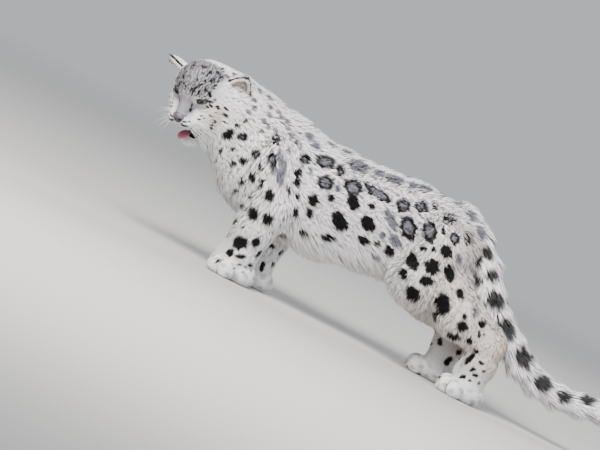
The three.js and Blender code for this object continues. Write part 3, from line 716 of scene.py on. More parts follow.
def nearness(p, spots, chunk=4000):
    """For each point, how near it is to the nearest spot's middle, 1 at its edge, and which spot that is."""
    spots = np.array(spots, np.float32)
    middles, axes = spots[:, :3], spots[:, 3:].reshape(-1, 3, 3)
    best, which = [], []
    for part in np.array_split(p.astype(np.float32), max(1, len(p) // chunk)):
        v = part[:, None] - middles[None]
        r = np.sqrt((np.einsum("nsk,sak->nsa", v, axes) ** 2).sum(2))
        which.append(r.argmin(1))
        best.append(r.min(1))
    return np.concatenate(best), np.concatenate(which)


def ragged(p, which, r):
    """A spot's edge, pulled in and out as real spots are."""
    a = which * 2.4
    waves = 0.07 * np.sin(p[:, 0] / 2.3 + a) + 0.07 * np.sin(p[:, 2] / 2.0 + 1.7 * a)
    return r * (1 + waves + 0.05 * np.sin((p[:, 0] + p[:, 2]) / 3.4 - a))


def forehead():
    """Fine strokes from the brow to the crown, each lying with the coat."""
    place = in_head(shown[on_face])
    among = on_face[(place[:, 2] > 9) & (place[:, 0] > -62) & (np.abs(place[:, 1]) < 44)]
    made, taken = [], np.full((1, 3), 1e4)
    for i in rng.permutation(among):
        if np.linalg.norm(taken - shown[i], axis=1).min() < DASHES_APART:
            continue
        taken = np.vstack([taken, shown[i]])
        way = skin_lie[i]
        side = unit(np.cross(skin_normals[i], way))
        size = rng.uniform([2.8, 1.3], [4.8, 2.0])
        axes = np.array([way / size[0], side / size[1], skin_normals[i] / 6])
        made.append(np.concatenate([shown[i], axes.ravel()]))
    return made


def saddles():
    """Spots of the tail past the picture's edge, on its upper side."""
    made = []
    for n in range(TAIL_SADDLES):
        x, y, z, r, _ = TAIL[FIRST_SADDLE + n]
        made.append(spot(np.array([x + 22.0, y, z + r * 0.7]), 9, 7, 0, 12))
    return made


def fillers(existing, wanted, apart):
    """More spots where the photo doesn't show the coat: along the back, the chest and inside the legs."""
    taken = np.array([s[:3] for s in existing])
    made = []
    for i in off_face[rng.permutation(len(off_face))]:
        p, n = shown[i], skin_normals[i]
        if n[1] < -0.25 or p[1] > 6 or n[2] < -0.6 or p[2] < 45 or p[0] > 420:
            continue
        if np.linalg.norm(taken - p, axis=1).min() < apart:
            continue
        taken = np.vstack([taken, p])
        size = rng.uniform([3.0, 2.4], [5.5, 3.6])
        made.append(spot(p, size[0], size[1], rng.uniform(-60, 120)))
        if len(made) == wanted:
            break
    return made


black = from_photo(BLACK, off_face)
rings = from_photo(ROSETTES, off_face)
smoky = from_photo(SMOKY, off_face)
blotches = from_photo(TAIL_SPOTS, on_tail) + saddles()
dots = [spot(shown[cast(x, y, off_face)], 3.2, 2.4, 40) for x, y in NECK_DOTS]
ring_size = np.array([PIXEL * math.sqrt(row[2] * row[3]) for row in ROSETTES])  # in mm
filled = fillers(black + rings + smoky + dots + blotches, 60, 24)
smoky += [s for s in filled if s[2] > SMOKY_OVER]
black += [s for s in filled if s[2] <= SMOKY_OVER]
bars, dashes = from_photo(FACE_BARS, by_face, 4), forehead()


def toe_crease_shade(p):
    """Painted shade in the creases between the toes, from 0 to 1."""
    dark = np.zeros(len(p))
    for size in PAWS.values():
        near = np.nonzero(np.linalg.norm(p - (size[0] - 30, size[1], 20), axis=1) < 60)[0]
        if len(near):
            apart = np.sort(np.stack([toe(p[near]) for toe in toes(*size, 0)], 1), axis=1)
            crease_shade = step(5.5, 1.5, apart[:, 1] - apart[:, 0])
            dark[near] = crease_shade * step(7, 3, apart[:, 0]) * step(36, 26, p[near, 2])
    return dark


def markings(p, region, jitter):
    """Black, smoky, warm and pale of the coat at places on it, each from 0 to 1. The black also holds painted
    shade in the toe creases and inside the open mouth, and the smoky holds painted shade inside the ear cups.
    """
    head, tail = within(region, "head"), within(region, "tail")
    ear = within(region, "ear_left", "ear_right")
    p = p + jitter
    q = own_side(p)
    r, which = nearness(q, black)
    mask = step(1.12, 0.86, ragged(q, which, r))
    r, which = nearness(q, rings)
    r = ragged(q, which, r)
    broken = 0.95 + 0.3 * np.sin(q[:, 0] / 4.1 + which * 2.2) * np.sin(q[:, 2] / 3.7 - which)
    hole = 1 - np.clip(RING_WIDE / ring_size[which], 0.42, 1.3)
    ring = step(1.14, 0.92, r) * step(hole - 0.1, hole + 0.08, r)
    mask = np.maximum(mask, ring * np.minimum(broken + 0.08, 1))
    grey = step(1.05, 0.8, r)
    r, which = nearness(q, smoky)
    grey = np.maximum(grey, step(1.15, 0.75, ragged(q, which, r)))
    r, which = nearness(p, blotches)
    # The painted shade of the toe creases goes into the black.
    mask = np.maximum.reduce([mask, step(1.12, 0.8, ragged(p, which, r)) * 0.97, toe_crease_shade(p) * 0.85])
    mask = np.maximum(mask, step(1.15, 0.75, nearness(q, dots)[0]) * 0.82)
    bar = step(1.2, 0.75, nearness(own_face(p), bars)[0])
    dash = step(1.2, 0.75, nearness(p, dashes)[0])
    # Near the open mouth the black is partly the lips' dark leather and partly painted shade over the skin
    # inside the mouth.
    face = np.maximum.reduce([bar, dash * 0.85, step(3.0, 1.4, mouth_field(p))])
    inner = in_head(p)
    near_nose = np.linalg.norm(inner - (20, 0, -30), axis=1)
    mask = np.where(head, face, np.where(ear, 0, np.maximum(mask, bar)))
    bridge = step(60, 26, near_nose) * step(-46, -22, inner[:, 2]) * step(28, 14, np.abs(inner[:, 1])) * 0.86
    grey = np.where(head, bridge, np.where(ear, 0, grey))
    crown = head * step(2, 26, inner[:, 2]) * step(56, 40, np.abs(inner[:, 1]))
    grey = np.maximum(grey, crown * step(-76, -52, inner[:, 0]) * 0.78)
    low = step(170, 120, q[:, 2]) * (q[:, 0] > -210) * (q[:, 0] < 60)
    pale = np.clip(low + step(90, 40, q[:, 2]) + head * step(-34, -50, inner[:, 2]), 0, 1)
    thigh = step(70, 130, q[:, 0]) * step(330, 300, q[:, 2]) * ~tail * 0.38
    cheek = head * step(6, -14, inner[:, 0]) * step(0, -18, inner[:, 2]) * step(-80, -56, inner[:, 2]) * 0.7
    cheek = cheek * step(26, 42, np.abs(inner[:, 1]))
    mottled = step(0.1, 0.8, np.sin(q[:, 0] / 5.3) * np.sin(q[:, 2] / 4.1 + q[:, 1] / 6.0))
    grey = np.maximum(grey, within(region, *PAWS) * mottled * 0.5)
    hock = step(290, 302, q[:, 0]) * step(170, 140, q[:, 2]) * step(40, 60, q[:, 2]) * ~tail * 0.8
    warm = np.clip(np.maximum.reduce([thigh, cheek, hock]), 0, 1)
    for side, name in ((1, "ear_left"), (-1, "ear_right")):
        here = within(region, name)
        local = on_ear(p, side)
        rim = np.hypot(local[:, 1] / EAR_RADII[1], local[:, 2] / EAR_RADII[2])
        back, ahead = EAR_EDGE[side]
        edge = step(back - 1, back, local[:, 0]) * step(ahead + 1, ahead, local[:, 0]) * (rim > 0.86)
        edge = edge * step(-0.7, -0.4, local[:, 2] / EAR_RADII[2])
        mask = np.where(here, edge, mask)
        inside = here & (rim < 0.86) & (local[:, 0] > -4)
        warm = np.where(here, 0.6 * inside, warm)
        # One side of each ear's cup is greyed inside: painted shade.
        grey = np.where(here, inside * step(0.0, -0.7, local[:, 1] / EAR_RADII[1] * side) * 0.3, grey)
        pale = np.where(here, 0.4 * ~inside, pale)
    return np.stack([mask, grey, warm, pale], 1)


skin_marks = markings(shown, skin_region, 0)
print("markings done", len(black), len(rings), len(smoky), len(bars))

# Tufts
SUNK = 1.5  # each tuft's root is this far under the skin
LENGTH = 1.55  # a tuft's length for each millimetre of coat depth
SHORTEST = 4.2  # the length of the shortest tufts
MOST = 147000  # tufts in all, before the hairless places are cleared
# How many layers of tufts lie over each other
COVER = {"trunk": 4.4, "neck": 4.2, "leg": 2.5, "paw": 1.7, "tail": 4.6, "head": 2.6, "ear": 3.0}
EAR_HAIR = 3.4  # how much longer the hair inside the ears is
UNEVEN = 0.13  # how much each tuft's lie strays
STRAY = 0.5  # how far dark hair strays over a marking's edge
CLUMP = 11  # tufts whose tips lean together
PER_PIECE = 19900  # tufts in one piece, at most
LIP_WAY = ((-30, 15, -85), (-6, 32, -72))  # the hairless way out from each corner of the mouth
LIP_CLEARING = 13  # half the width of that way


def cover_of(name):
    return next(cover for part, cover in COVER.items() if part in name)


def shaggy(p, normals, region):
    """How much longer the coat is than its depth alone makes it, as under the belly and on the thighs."""
    q = own_side(p)
    trunk = within(region, "trunk", "neck")
    low = step(-0.1, -0.7, normals[:, 2]) * trunk
    chest = step(-0.3, -0.8, normals[:, 0]) * trunk * step(-150, -220, q[:, 0])
    low = low * step(-300, -230, q[:, 0])
    thigh = step(0.2, 0.8, normals[:, 0]) * step(60, 110, q[:, 0])
    thigh = thigh * step(230, 170, q[:, 2]) * step(70, 110, q[:, 2])
    tail = within(region, "tail")
    inner = in_head(p)
    beard = within(region, "head") * step(-88, -100, inner[:, 2]) * step(-60, -45, inner[:, 0])
    sleek = step(0.35, 0.75, np.abs(normals[:, 1])) * step(-180, -130, q[:, 0]) * step(120, 160, q[:, 2])
    sleek = sleek * (trunk | within(region, "hindleg_left", "hindleg_right"))
    made = 1 + 0.7 * low + 0.25 * chest + 0.7 * thigh * ~tail + 0.3 * tail + 1.2 * beard - 0.3 * sleek
    made = made + 0.7 * within(region, *PAWS)
    for side, name in ((1, "ear_left"), (-1, "ear_right")):
        facing = (normals @ ear_axes(side)[0]) > 0.25
        made = np.where(within(region, name) & facing, EAR_HAIR, made)
    return made


def bare_place(p, normals):
    """Where no hair grows: the mouth, the opening between the lids, the nose and the soles."""
    bare = (mouth_field(p) < 2.2) | ((p[:, 2] < 2.5) & (normals[:, 2] < -0.5))
    bare |= egg(on_head(*NOSE_AT), np.array([9.5, 13.5, 10.5]), HEAD_AXES)(p) < 0.8
    for place, axes in EYES.values():
        local = (p - place) @ axes.T
        almond = np.hypot(local[:, 1] / (SLIT[0] + LID_SKIN_WIDE), local[:, 2] / (SLIT[1] + LID_SKIN_WIDE))
        bare |= (almond < 1) & (local[:, 0] > 0)
    return bare


def rooted():
    """Roots spread over the skin, thick enough for the tufts to cover it."""
    tri = np.concatenate([skin_faces[:, [0, 1, 2]], skin_faces[:, [0, 2, 3]]])
    a, b, c = (skin_points[tri[:, i]] for i in range(3))
    area = np.linalg.norm(np.cross(b - a, c - a), axis=1) / 2
    region = skin_region[tri[:, 0]]
    depth = skin_depth[tri].mean(1)
    length = np.maximum(LENGTH * depth, SHORTEST)
    width = 0.5 + 0.07 * length
    cover = np.array([cover_of(name) for name in REGION])[region]
    wanted = area * cover / (0.5 * length * width)
    count = rng.poisson(wanted * min(1, MOST / wanted.sum()))
    face = np.repeat(np.arange(len(tri)), count)
    u, v = rng.random(len(face)), rng.random(len(face))
    fold = u + v > 1
    u, v = np.where(fold, 1 - u, u), np.where(fold, 1 - v, v)
    w = np.stack([1 - u - v, u, v], 1)
    blend = lambda values: (values[tri[face]] * w.reshape(w.shape + (1,) * (values.ndim - 1))).sum(1)
    points, normals, lie = blend(skin_points), unit(blend(skin_normals)), unit(blend(skin_lie))
    keep = ~bare_place(points, normals)
    return [v[keep] for v in (points, normals, lie, blend(skin_depth), region[face])]


root, root_normal, root_lie, root_depth, root_region = rooted()
tufts = len(root)
print("tufts", tufts)

root_lie = unit(root_lie + UNEVEN * rng.normal(size=(tufts, 3)))
root_lie = unit(root_lie - root_normal * (root_lie * root_normal).sum(1)[:, None])
more = shaggy(root, root_normal, root_region)
length = np.maximum(LENGTH * root_depth, SHORTEST) * more * rng.uniform(0.75, 1.15, tufts)
height = root_depth * rng.uniform(0.72, 1.08, tufts)
in_ear = more == EAR_HAIR
length[in_ear] = rng.uniform(7, 12, in_ear.sum())
height[in_ear] = rng.uniform(2, 5, in_ear.sum())
width = (0.5 + 0.07 * length) * rng.uniform(0.8, 1.2, tufts)
for place, axes in EYES.values():
    off = root - place
    away = np.linalg.norm(off, axis=1)
    near = away < 24
    out = unit(off[near] - root_normal[near] * (off[near] * root_normal[near]).sum(1)[:, None])
    lean = step(24, 14, away[near])[:, None]
    root_lie[near] = unit(root_lie[near] * (1 - lean) + out * lean)
    length[near] = length[near] * (1 - 0.35 * lean[:, 0])
lips = step(16, 3, mouth_field(root)) * within(root_region, "head") * (more < 1.5)
length *= 1 - 0.5 * lips
height *= 1 - 0.3 * lips
reach = np.sqrt(np.maximum(length**2 - height**2, (0.4 * length) ** 2))


def clumped(p, tip):
    """Tips drawn towards the tip of the nearest clump's middle tuft."""
    middles = rng.permutation(tufts)[: tufts // CLUMP]
    tree = kdtree.KDTree(len(middles))
    for i, m in enumerate(middles):
        tree.insert(p[m], i)
    tree.balance()
    near = np.array([tree.find(q)[1] for q in p])
    pull = tip[middles[near]] - tip
    far = np.linalg.norm(pull, axis=1)
    strength = rng.uniform(0.3, 0.55, tufts) * step(1.1, 0.3, far / length)
    return pull * strength[:, None]


tip = root + root_lie * reach[:, None] + root_normal * height[:, None]
drawn = clumped(root, tip)
tip = tip + drawn
hang = np.where(in_ear, 0, np.maximum(more - 1, 0)) * 0.3 * length
droop = np.array([0, 0, -1.0]) * hang[:, None]
tip = tip + droop
middle = root + root_lie * (0.42 * reach)[:, None] + root_normal * (0.62 * height)[:, None]
middle = middle + 0.3 * drawn + 0.25 * droop
tip[:, 2] = np.maximum(tip[:, 2], 1.2)
middle[:, 2] = np.maximum(middle[:, 2], 1.0 + width)
# Tufts that would hang over the open mouth or its corners are left out.
clear_of_lips = cone(LIP_WAY[0], LIP_CLEARING, LIP_WAY[1], LIP_CLEARING)


def over_mouth(p, reach):
    """Places over the open mouth or its corners, nearer to the mouth than reach."""
    return (mouth_field(p) < reach) | (clear_of_lips(one_side(p)) < 0)


free = ~(over_mouth(tip, 5) | over_mouth(middle, 3))


def marks_at(p):
    return markings(p, root_region, rng.normal(size=(tufts, 3)) * STRAY)


middle_marks, tip_marks = marks_at(middle + 0.3 * (tip - middle)), marks_at(tip)
print("tuft markings done")


# A tuft's faces by its seven points, three-cornered ones filled up with -1
TUFT_SIDES = [[3, 4, 1, 0], [4, 5, 2, 1], [5, 3, 0, 2]]
TUFT_ENDS = [[6, 4, 3, -1], [6, 5, 4, -1], [6, 3, 5, -1]]
TUFT = np.array([[0, 1, 2, -1], *TUFT_SIDES, *TUFT_ENDS])
PATCH = 0.003  # the width of each tuft's own patch of the flat map
PATCH_CORNERS = [[0.0, 0.0], [0.5, 0.1], [1.0, 0.0], [0.1, 0.5], [0.5, 0.6], [0.9, 0.5], [0.5, 1.0]]


def tuft_points(pick):
    """Seven points for each tuft: a root and a middle of three points each, and a tip."""
    side = unit(np.cross(root_normal[pick], root_lie[pick]))
    up = root_normal[pick]
    across, thick = width[pick, None] / 2, width[pick, None] * 0.22
    base = root[pick] - up * SUNK
    ring = lambda c, s: [c - side * across * s, c + up * thick * s, c + side * across * s]
    return np.stack(ring(base, 0.75) + ring(middle[pick], 1.0) + [tip[pick]], 1).reshape(-1, 3)


def unwrapped(p, region):
    """A place on a flat map of a region's own shape, from 0 to 1 each way: round it and along it."""
    out = np.zeros((len(p), 2))
    for i, name in enumerate(REGION):
        here = region == i
        q = p[here]
        if name in ("trunk", "neck", "tail"):
            table = np.array({"trunk": TRUNK, "neck": NECK, "tail": TAIL}[name], float)
            table = table[np.argsort(table[:, 0])]
            y, z = (np.interp(q[:, 0], table[:, 0], table[:, c]) for c in (1, 2))
            low, high = table[0, 0] - 110, table[-1, 0] + 90
            turn = np.arctan2(q[:, 1] - y, q[:, 2] - z)
            flat = np.stack([turn / math.tau + 0.5, (q[:, 0] - low) / (high - low)], 1)
        elif name in LEGS:
            table = np.array(LEGS[name], float)[::-1]
            x, y = (np.interp(q[:, 2], table[:, 2], table[:, c]) for c in (0, 1))
            flat = np.stack([np.arctan2(q[:, 1] - y, q[:, 0] - x) / math.tau + 0.5, q[:, 2] / 330], 1)
        else:
            centre = on_head(-45, 0, -20) if name == "head" else q.mean(0) if len(q) else np.zeros(3)
            v = unit(q - centre)
            flat = np.stack([np.arctan2(v[:, 1], v[:, 0]) / math.tau + 0.5, np.arccos(v[:, 2]) / math.pi], 1)
        out[here] = np.clip(flat, 0.002, 0.998)
    return out


# Pieces in the row's frame, in metres
low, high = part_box("eye_left")
SHIFT = (np.array(low) + np.array(high)) / 2 / MM - EYES["left"][0]


def placed(p):
    return (np.asarray(p, float) + SHIFT) * MM


FLESH = [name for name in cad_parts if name.split("_")[0] not in ("eye", "nose", "tongue")]


def fill(mesh, points, corners, sizes):
    mesh.vertices.add(len(points))
    mesh.vertices.foreach_set("co", np.asarray(points, np.float32).ravel())
    mesh.loops.add(len(corners))
    mesh.loops.foreach_set("vertex_index", np.asarray(corners, np.int32))
    mesh.polygons.add(len(sizes))
    mesh.polygons.foreach_set("loop_start", np.concatenate([[0], np.cumsum(sizes)[:-1]]).astype(np.int32))
    mesh.update(calc_edges=True)


def shown_piece(name, mesh, material, slot, nodes):
    """A mesh as a smooth piece of the animal, in place of its nodes."""
    mesh.polygons.foreach_set("use_smooth", np.full(len(mesh.polygons), True))
    mesh.validate()
    mesh.materials.append(material)
    obj = bpy.data.objects.new(name, mesh)
    bpy.context.scene.collection.objects.link(obj)
    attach(obj, "root")
    if nodes:
        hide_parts(*nodes)


def attribute(mesh, name, kind, values):
    made = mesh.attributes.new(name, kind, "POINT")
    field = "color" if kind == "FLOAT_COLOR" else "vector" if kind == "FLOAT_VECTOR" else "value"
    made.data.foreach_set(field, np.asarray(values, np.float32).ravel())


# Finishes
def srgb(code):
    """An sRGB hex colour as linear light."""
    parts = [int(code[i : i + 2], 16) / 255 for i in (1, 3, 5)]
    return tuple(c / 12.92 if c < 0.04045 else ((c + 0.055) / 1.055) ** 2.4 for c in parts) + (1.0,)


def finish(name):
    """A new material, its node tree and its shader."""
    material = bpy.data.materials.new(name)
    material.use_nodes = True
    tree = material.node_tree
    return material, tree, tree.nodes["Principled BSDF"]


def add(tree, kind, settings):
    """Adds a node. Each setting is a property, an input's value, or a socket to link to an input."""
    node = tree.nodes.new(kind)
    for key, value in settings.items():
        if isinstance(key, str) and key not in node.inputs:
            setattr(node, key, value)
        elif isinstance(value, bpy.types.NodeSocket):
            tree.links.new(value, node.inputs[key])
        else:
            node.inputs[key].default_value = value
    return node


def mixed(tree, amount, a, b):
    return add(tree, "ShaderNodeMix", {"data_type": "RGBA", 0: amount, 6: a, 7: b}).outputs[2]


def coat_finish(name, roots):
    """Banded guard hair over wool: pale tips, greyer roots, dark hair in the markings."""
    material, tree, shader = finish(name)
    marks = add(tree, "ShaderNodeAttribute", {"attribute_name": "marking"})
    parts = add(tree, "ShaderNodeSeparateColor", {"Color": marks.outputs["Color"]})
    hair = add(tree, "ShaderNodeAttribute", {"attribute_name": "hair"})
    strand = add(tree, "ShaderNodeSeparateColor", {"Color": hair.outputs["Color"]})
    place = add(tree, "ShaderNodeTexCoord", {}).outputs["Object"]
    patch = add(tree, "ShaderNodeTexNoise", {"Vector": place, "Scale": 1000 / 60, "Detail": 2.0})
    base = mixed(tree, patch.outputs[0], srgb("#E2E0E2"), srgb("#F3F1F2"))
    base = mixed(tree, parts.outputs["Blue"], base, srgb("#D2BCA6"))
    base = mixed(tree, marks.outputs["Alpha"], base, srgb("#FBFBFC"))
    dim = add(tree, "ShaderNodeMath", {"operation": "MULTIPLY", 0: strand.outputs["Green"], 1: 0.3})
    base = mixed(tree, dim.outputs[0], base, srgb("#8A8486"))
    # The smoky and black colours also paint shade: inside the ear cups, in the toe creases and inside the
    # open mouth.
    base = mixed(tree, parts.outputs["Green"], base, srgb("#5C5D69"))
    base = mixed(tree, parts.outputs["Red"], base, srgb("#0D0C0D"))
    deep = add(tree, "ShaderNodeMapRange", {"Value": strand.outputs["Red"], 1: 0.0, 2: 0.7, 3: roots, 4: 0.0})
    wool = mixed(tree, parts.outputs["Red"], srgb("#9A9698"), srgb("#161415"))
    colour = mixed(tree, deep.outputs[0], base, wool)
    tree.links.new(colour, shader.inputs["Base Color"])
    shader.inputs["Roughness"].default_value = 0.72
    shader.inputs["Specular IOR Level"].default_value = 0.12
    shader.inputs["Sheen Weight"].default_value = 0.05
    return material


GUARD_HAIR = coat_finish("guard_hair", 0.55)
WOOL = coat_finish("wool_undercoat", 0.8)

skin_mesh = bpy.data.meshes.new("skin")
fill(skin_mesh, placed(skin_points), skin_faces.ravel(), np.full(len(skin_faces), 4))
attribute(skin_mesh, "marking", "FLOAT_COLOR", skin_marks)
attribute(skin_mesh, "hair", "FLOAT_COLOR", np.tile([0.45, 0.5, 0.5, 1.0], (len(skin_points), 1)))
shown_piece("skin", skin_mesh, WOOL, "coat", FLESH)

GROUPS = {
    "coat_flank": ("trunk",),
    "coat_neck": ("neck",),
    "coat_head": ("head", "ear_left", "ear_right"),
    "coat_forelegs": ("foreleg_left", "foreleg_right"),
    "coat_hindlegs": ("hindleg_left", "hindleg_right"),
    "coat_paws": tuple(PAWS),
    "coat_tail": ("tail",),
}


def coat_piece(name, pick):
    """One piece of the coat, every tuft of it closed."""
    n = len(pick)
    first = (np.arange(n) * 7)[:, None]
    corners = (first + TUFT[TUFT >= 0][None]).ravel()
    mesh = bpy.data.meshes.new(name)
    fill(mesh, placed(tuft_points(pick)), corners, np.tile((TUFT >= 0).sum(1), n))
    along = np.tile([0, 0, 0, 0.45, 0.45, 0.45, 1.0], n)
    shade = np.repeat(rng.random(n), 7)
    both = np.stack([middle_marks[pick]] * 6 + [tip_marks[pick]], 1)
    attribute(mesh, "marking", "FLOAT_COLOR", both.reshape(-1, 4))
    attribute(mesh, "hair", "FLOAT_COLOR", np.stack([along, shade, shade, np.ones(7 * n)], 1))
    up = np.repeat(root_normal[pick], 7, 0)
    bulge = np.tile([[-0.5], [0.0], [0.5], [-0.5], [0.0], [0.5], [0.0]], (n, 1))
    side = np.repeat(unit(np.cross(root_normal[pick], root_lie[pick])), 7, 0)
    normals = unit(up + side * bulge)
    patch = np.array(PATCH_CORNERS) * PATCH - PATCH / 2
    flat = np.repeat(unwrapped(root[pick], root_region[pick]), 7, 0) + np.tile(patch, (n, 1))
    uv = mesh.uv_layers.new(name="OFBake")
    uv.data.foreach_set("uv", flat[corners].astype(np.float32).ravel())
    shown_piece(name, mesh, GUARD_HAIR, "coat", ())
    mesh.normals_split_custom_set_from_vertices(normals.tolist())


for group, names in GROUPS.items():
    members = np.nonzero(within(root_region, *names) & free)[0]
    pieces = math.ceil(len(members) / PER_PIECE)
    members = members[np.argsort(root[members, 1 if pieces > 1 else 0])]
    for i, part in enumerate(np.array_split(members, pieces)):
        coat_piece(group if pieces == 1 else f"{group}_{i + 1}", part)
        print(group, i, len(part))


def plain_piece(name, points, faces, material, slot, nodes=(), values=()):
    """A smooth piece with its own values at each point."""
    mesh = bpy.data.meshes.new(name)
    sizes = np.array([len(f) for f in faces], np.int32)
    fill(mesh, placed(points), np.concatenate([np.asarray(f, np.int32) for f in faces]), sizes)
    for key, kind, data in values:
        attribute(mesh, key, kind, data)
    shown_piece(name, mesh, material, slot, nodes)


# Eyes
IRIS = 0.66  # the iris's half-width against the eye's radius
PUPIL = 0.27
AROUND, DOWN_THE_EYE = 64, 40


def ball(rings, turns):
    """A unit ball with its pole along the first axis."""
    points = [(1, 0, 0)]
    for i in range(1, rings):
        a = math.pi * i / rings
        for j in range(turns):
            b = math.tau * j / turns
            points.append((math.cos(a), math.sin(a) * math.cos(b), math.sin(a) * math.sin(b)))
    points.append((-1, 0, 0))
    last = len(points) - 1
    faces = [(0, 1 + j, 1 + (j + 1) % turns) for j in range(turns)]
    for i in range(rings - 2):
        a, b = 1 + i * turns, 1 + (i + 1) * turns
        faces += [(a + j, b + j, b + (j + 1) % turns, a + (j + 1) % turns) for j in range(turns)]
    a = 1 + (rings - 2) * turns
    faces += [(last, a + (j + 1) % turns, a + j) for j in range(turns)]
    return np.array(points, float), faces


def eye_finish():
    """Cornea over a pale grey-green iris: a wet shine, fine spokes and a dark rim."""
    material, tree, shader = finish("cornea_and_iris")
    gaze = add(tree, "ShaderNodeAttribute", {"attribute_name": "gaze"})
    parts = add(tree, "ShaderNodeSeparateXYZ", {"Vector": gaze.outputs["Vector"]})
    flat = add(tree, "ShaderNodeCombineXYZ", {"X": parts.outputs["Y"], "Y": parts.outputs["Z"]})
    away = add(tree, "ShaderNodeVectorMath", {"operation": "LENGTH", 0: flat.outputs[0]}).outputs["Value"]
    y, z = parts.outputs["Y"], parts.outputs["Z"]
    angle = add(tree, "ShaderNodeMath", {"operation": "ARCTAN2", 0: y, 1: z})
    spoke = add(tree, "ShaderNodeCombineXYZ", {"X": angle.outputs[0], "Y": away})
    grain = add(tree, "ShaderNodeTexNoise", {"Vector": spoke.outputs[0], "Scale": 9.0, "Detail": 3.0})
    iris = mixed(tree, grain.outputs[0], srgb("#5C6963"), srgb("#8F9C92"))
    inner = add(tree, "ShaderNodeMapRange", {"Value": away, 1: PUPIL, 2: PUPIL + 0.28, 3: 0.55, 4: 0.0})
    iris = mixed(tree, inner.outputs[0], iris, srgb("#6F7A58"))
    limbus = add(tree, "ShaderNodeMapRange", {"Value": away, 1: IRIS - 0.12, 2: IRIS + 0.05, 3: 0.0, 4: 1.0})
    iris = mixed(tree, limbus.outputs[0], iris, srgb("#1B1716"))
    pupil = add(tree, "ShaderNodeMapRange", {"Value": away, 1: PUPIL, 2: PUPIL + 0.05, 3: 1.0, 4: 0.0})
    colour = mixed(tree, pupil.outputs[0], iris, srgb("#060607"))
    tree.links.new(colour, shader.inputs["Base Color"])
    shader.inputs["Roughness"].default_value = 0.35
    shader.inputs["Coat Weight"].default_value = 0.6
    shader.inputs["Coat Roughness"].default_value = 0.03
    return material


CORNEA = eye_finish()
for name, (place, axes) in EYES.items():
    local, faces = ball(DOWN_THE_EYE, AROUND)
    plain_piece(
        f"eyeball_{name}",
        place + EYE_RADIUS * local @ axes,
        faces,
        CORNEA,
        "eye",
        (f"eye_{name}",),
        [("gaze", "FLOAT_VECTOR", local)],
    )


def skin_finish(name, colour, darker, grain, roughness, bump, hollow_shade=False):
    """Bare skin with its own grain, in mm, and a little wetness. Where asked, painted shade darkens its
    hollows.
    """
    material, tree, shader = finish(name)
    place = add(tree, "ShaderNodeTexCoord", {}).outputs["Object"]
    cells = add(tree, "ShaderNodeTexVoronoi", {"Vector": place, "Scale": 1000 / grain})
    patch = add(tree, "ShaderNodeTexNoise", {"Vector": place, "Scale": 1000 / 9, "Detail": 3.0})
    tint = mixed(tree, patch.outputs[0], srgb(darker), srgb(colour))
    if hollow_shade:
        # Painted shade: the skin's hollows and the pad's underside are darkened nearly to black.
        depth = add(tree, "ShaderNodeAttribute", {"attribute_name": "hollow_shade"})
        tint = mixed(tree, depth.outputs["Fac"], tint, srgb("#141011"))
    tree.links.new(tint, shader.inputs["Base Color"])
    height = cells.outputs["Distance"]
    bumps = add(tree, "ShaderNodeBump", {"Height": height, "Strength": bump, "Distance": 0.4 * MM})
    tree.links.new(bumps.outputs[0], shader.inputs["Normal"])
    shader.inputs["Roughness"].default_value = roughness
    shader.inputs["Coat Weight"].default_value = 0.25
    shader.inputs["Coat Roughness"].default_value = 0.3
    return material


NOSE_LEATHER = skin_finish("nose_leather", "#5A545E", "#3F3B42", 1.3, 0.5, 0.6, True)
TONGUE_SKIN = skin_finish("tongue_skin", "#A85466", "#7E3A50", 1.1, 0.4, 0.8)
LID_SKIN = skin_finish("lid_skin", "#0B0A0A", "#060606", 0.9, 0.6, 0.3)


def tube(path, radii, turns=8):
    """A closed tube along a path, round in section and tapering to its radii."""
    path, radii = np.asarray(path, float), np.asarray(radii, float)
    ahead = unit(np.gradient(path, axis=0))
    side = unit(np.cross(ahead, ahead[0] + (0.3, 0.5, 0.8)))
    other = np.cross(ahead, side)
    angles = np.arange(turns) * math.tau / turns
    rings = path[:, None] + radii[:, None, None] * (
        np.cos(angles)[None, :, None] * side[:, None] + np.sin(angles)[None, :, None] * other[:, None]
    )
    n = len(path)
    faces = [
        (i * turns + j, (i + 1) * turns + j, (i + 1) * turns + (j + 1) % turns, i * turns + (j + 1) % turns)
        for i in range(n - 1)
        for j in range(turns)
    ]
    faces = [f[::-1] for f in faces]
    faces.append(tuple(range(turns)))
    faces.append(tuple((n - 1) * turns + j for j in reversed(range(turns))))
    return rings.reshape(-1, 3), faces


def together(parts):
    """Several meshes as one."""
    points, faces, start = [], [], 0
    for p, f in parts:
        points.append(p)
        faces += [tuple(i + start for i in face) for face in f]
        start += len(p)
    return np.concatenate(points), faces


# Lids: a dark rim all round each opening
def lid_rims():
    parts = []
    for side, (place, axes) in ((1, EYES["left"]), (-1, EYES["right"])):
        for upper in (1, -1):
            t = np.linspace(0, math.pi, 33)
            across = -np.cos(t) * (SLIT[0] + 0.3)
            lids = upper * np.sin(t) ** 0.85 * (SLIT[1] + (0.5 if upper > 0 else 0.1))
            out = np.sqrt(np.maximum((LID_RADIUS + 0.5) ** 2 - across**2 - lids**2, 4))
            path = place + np.stack([out, across, lids], 1) @ axes
            parts.append(tube(path, 1.25 + (1.7 if upper > 0 else 0.4) * np.sin(t)))
    return together(parts)


plain_piece("lid_rims", *lid_rims(), LID_SKIN, "nose_leather")


def local_surface(field, centre, half, spacing):
    """A field's surface near a point, on a grid of its own."""
    grid = tuple(np.arange(c - h, c + h, spacing) for c, h in zip(centre, half))
    return surface(sampled(field, grid), grid)


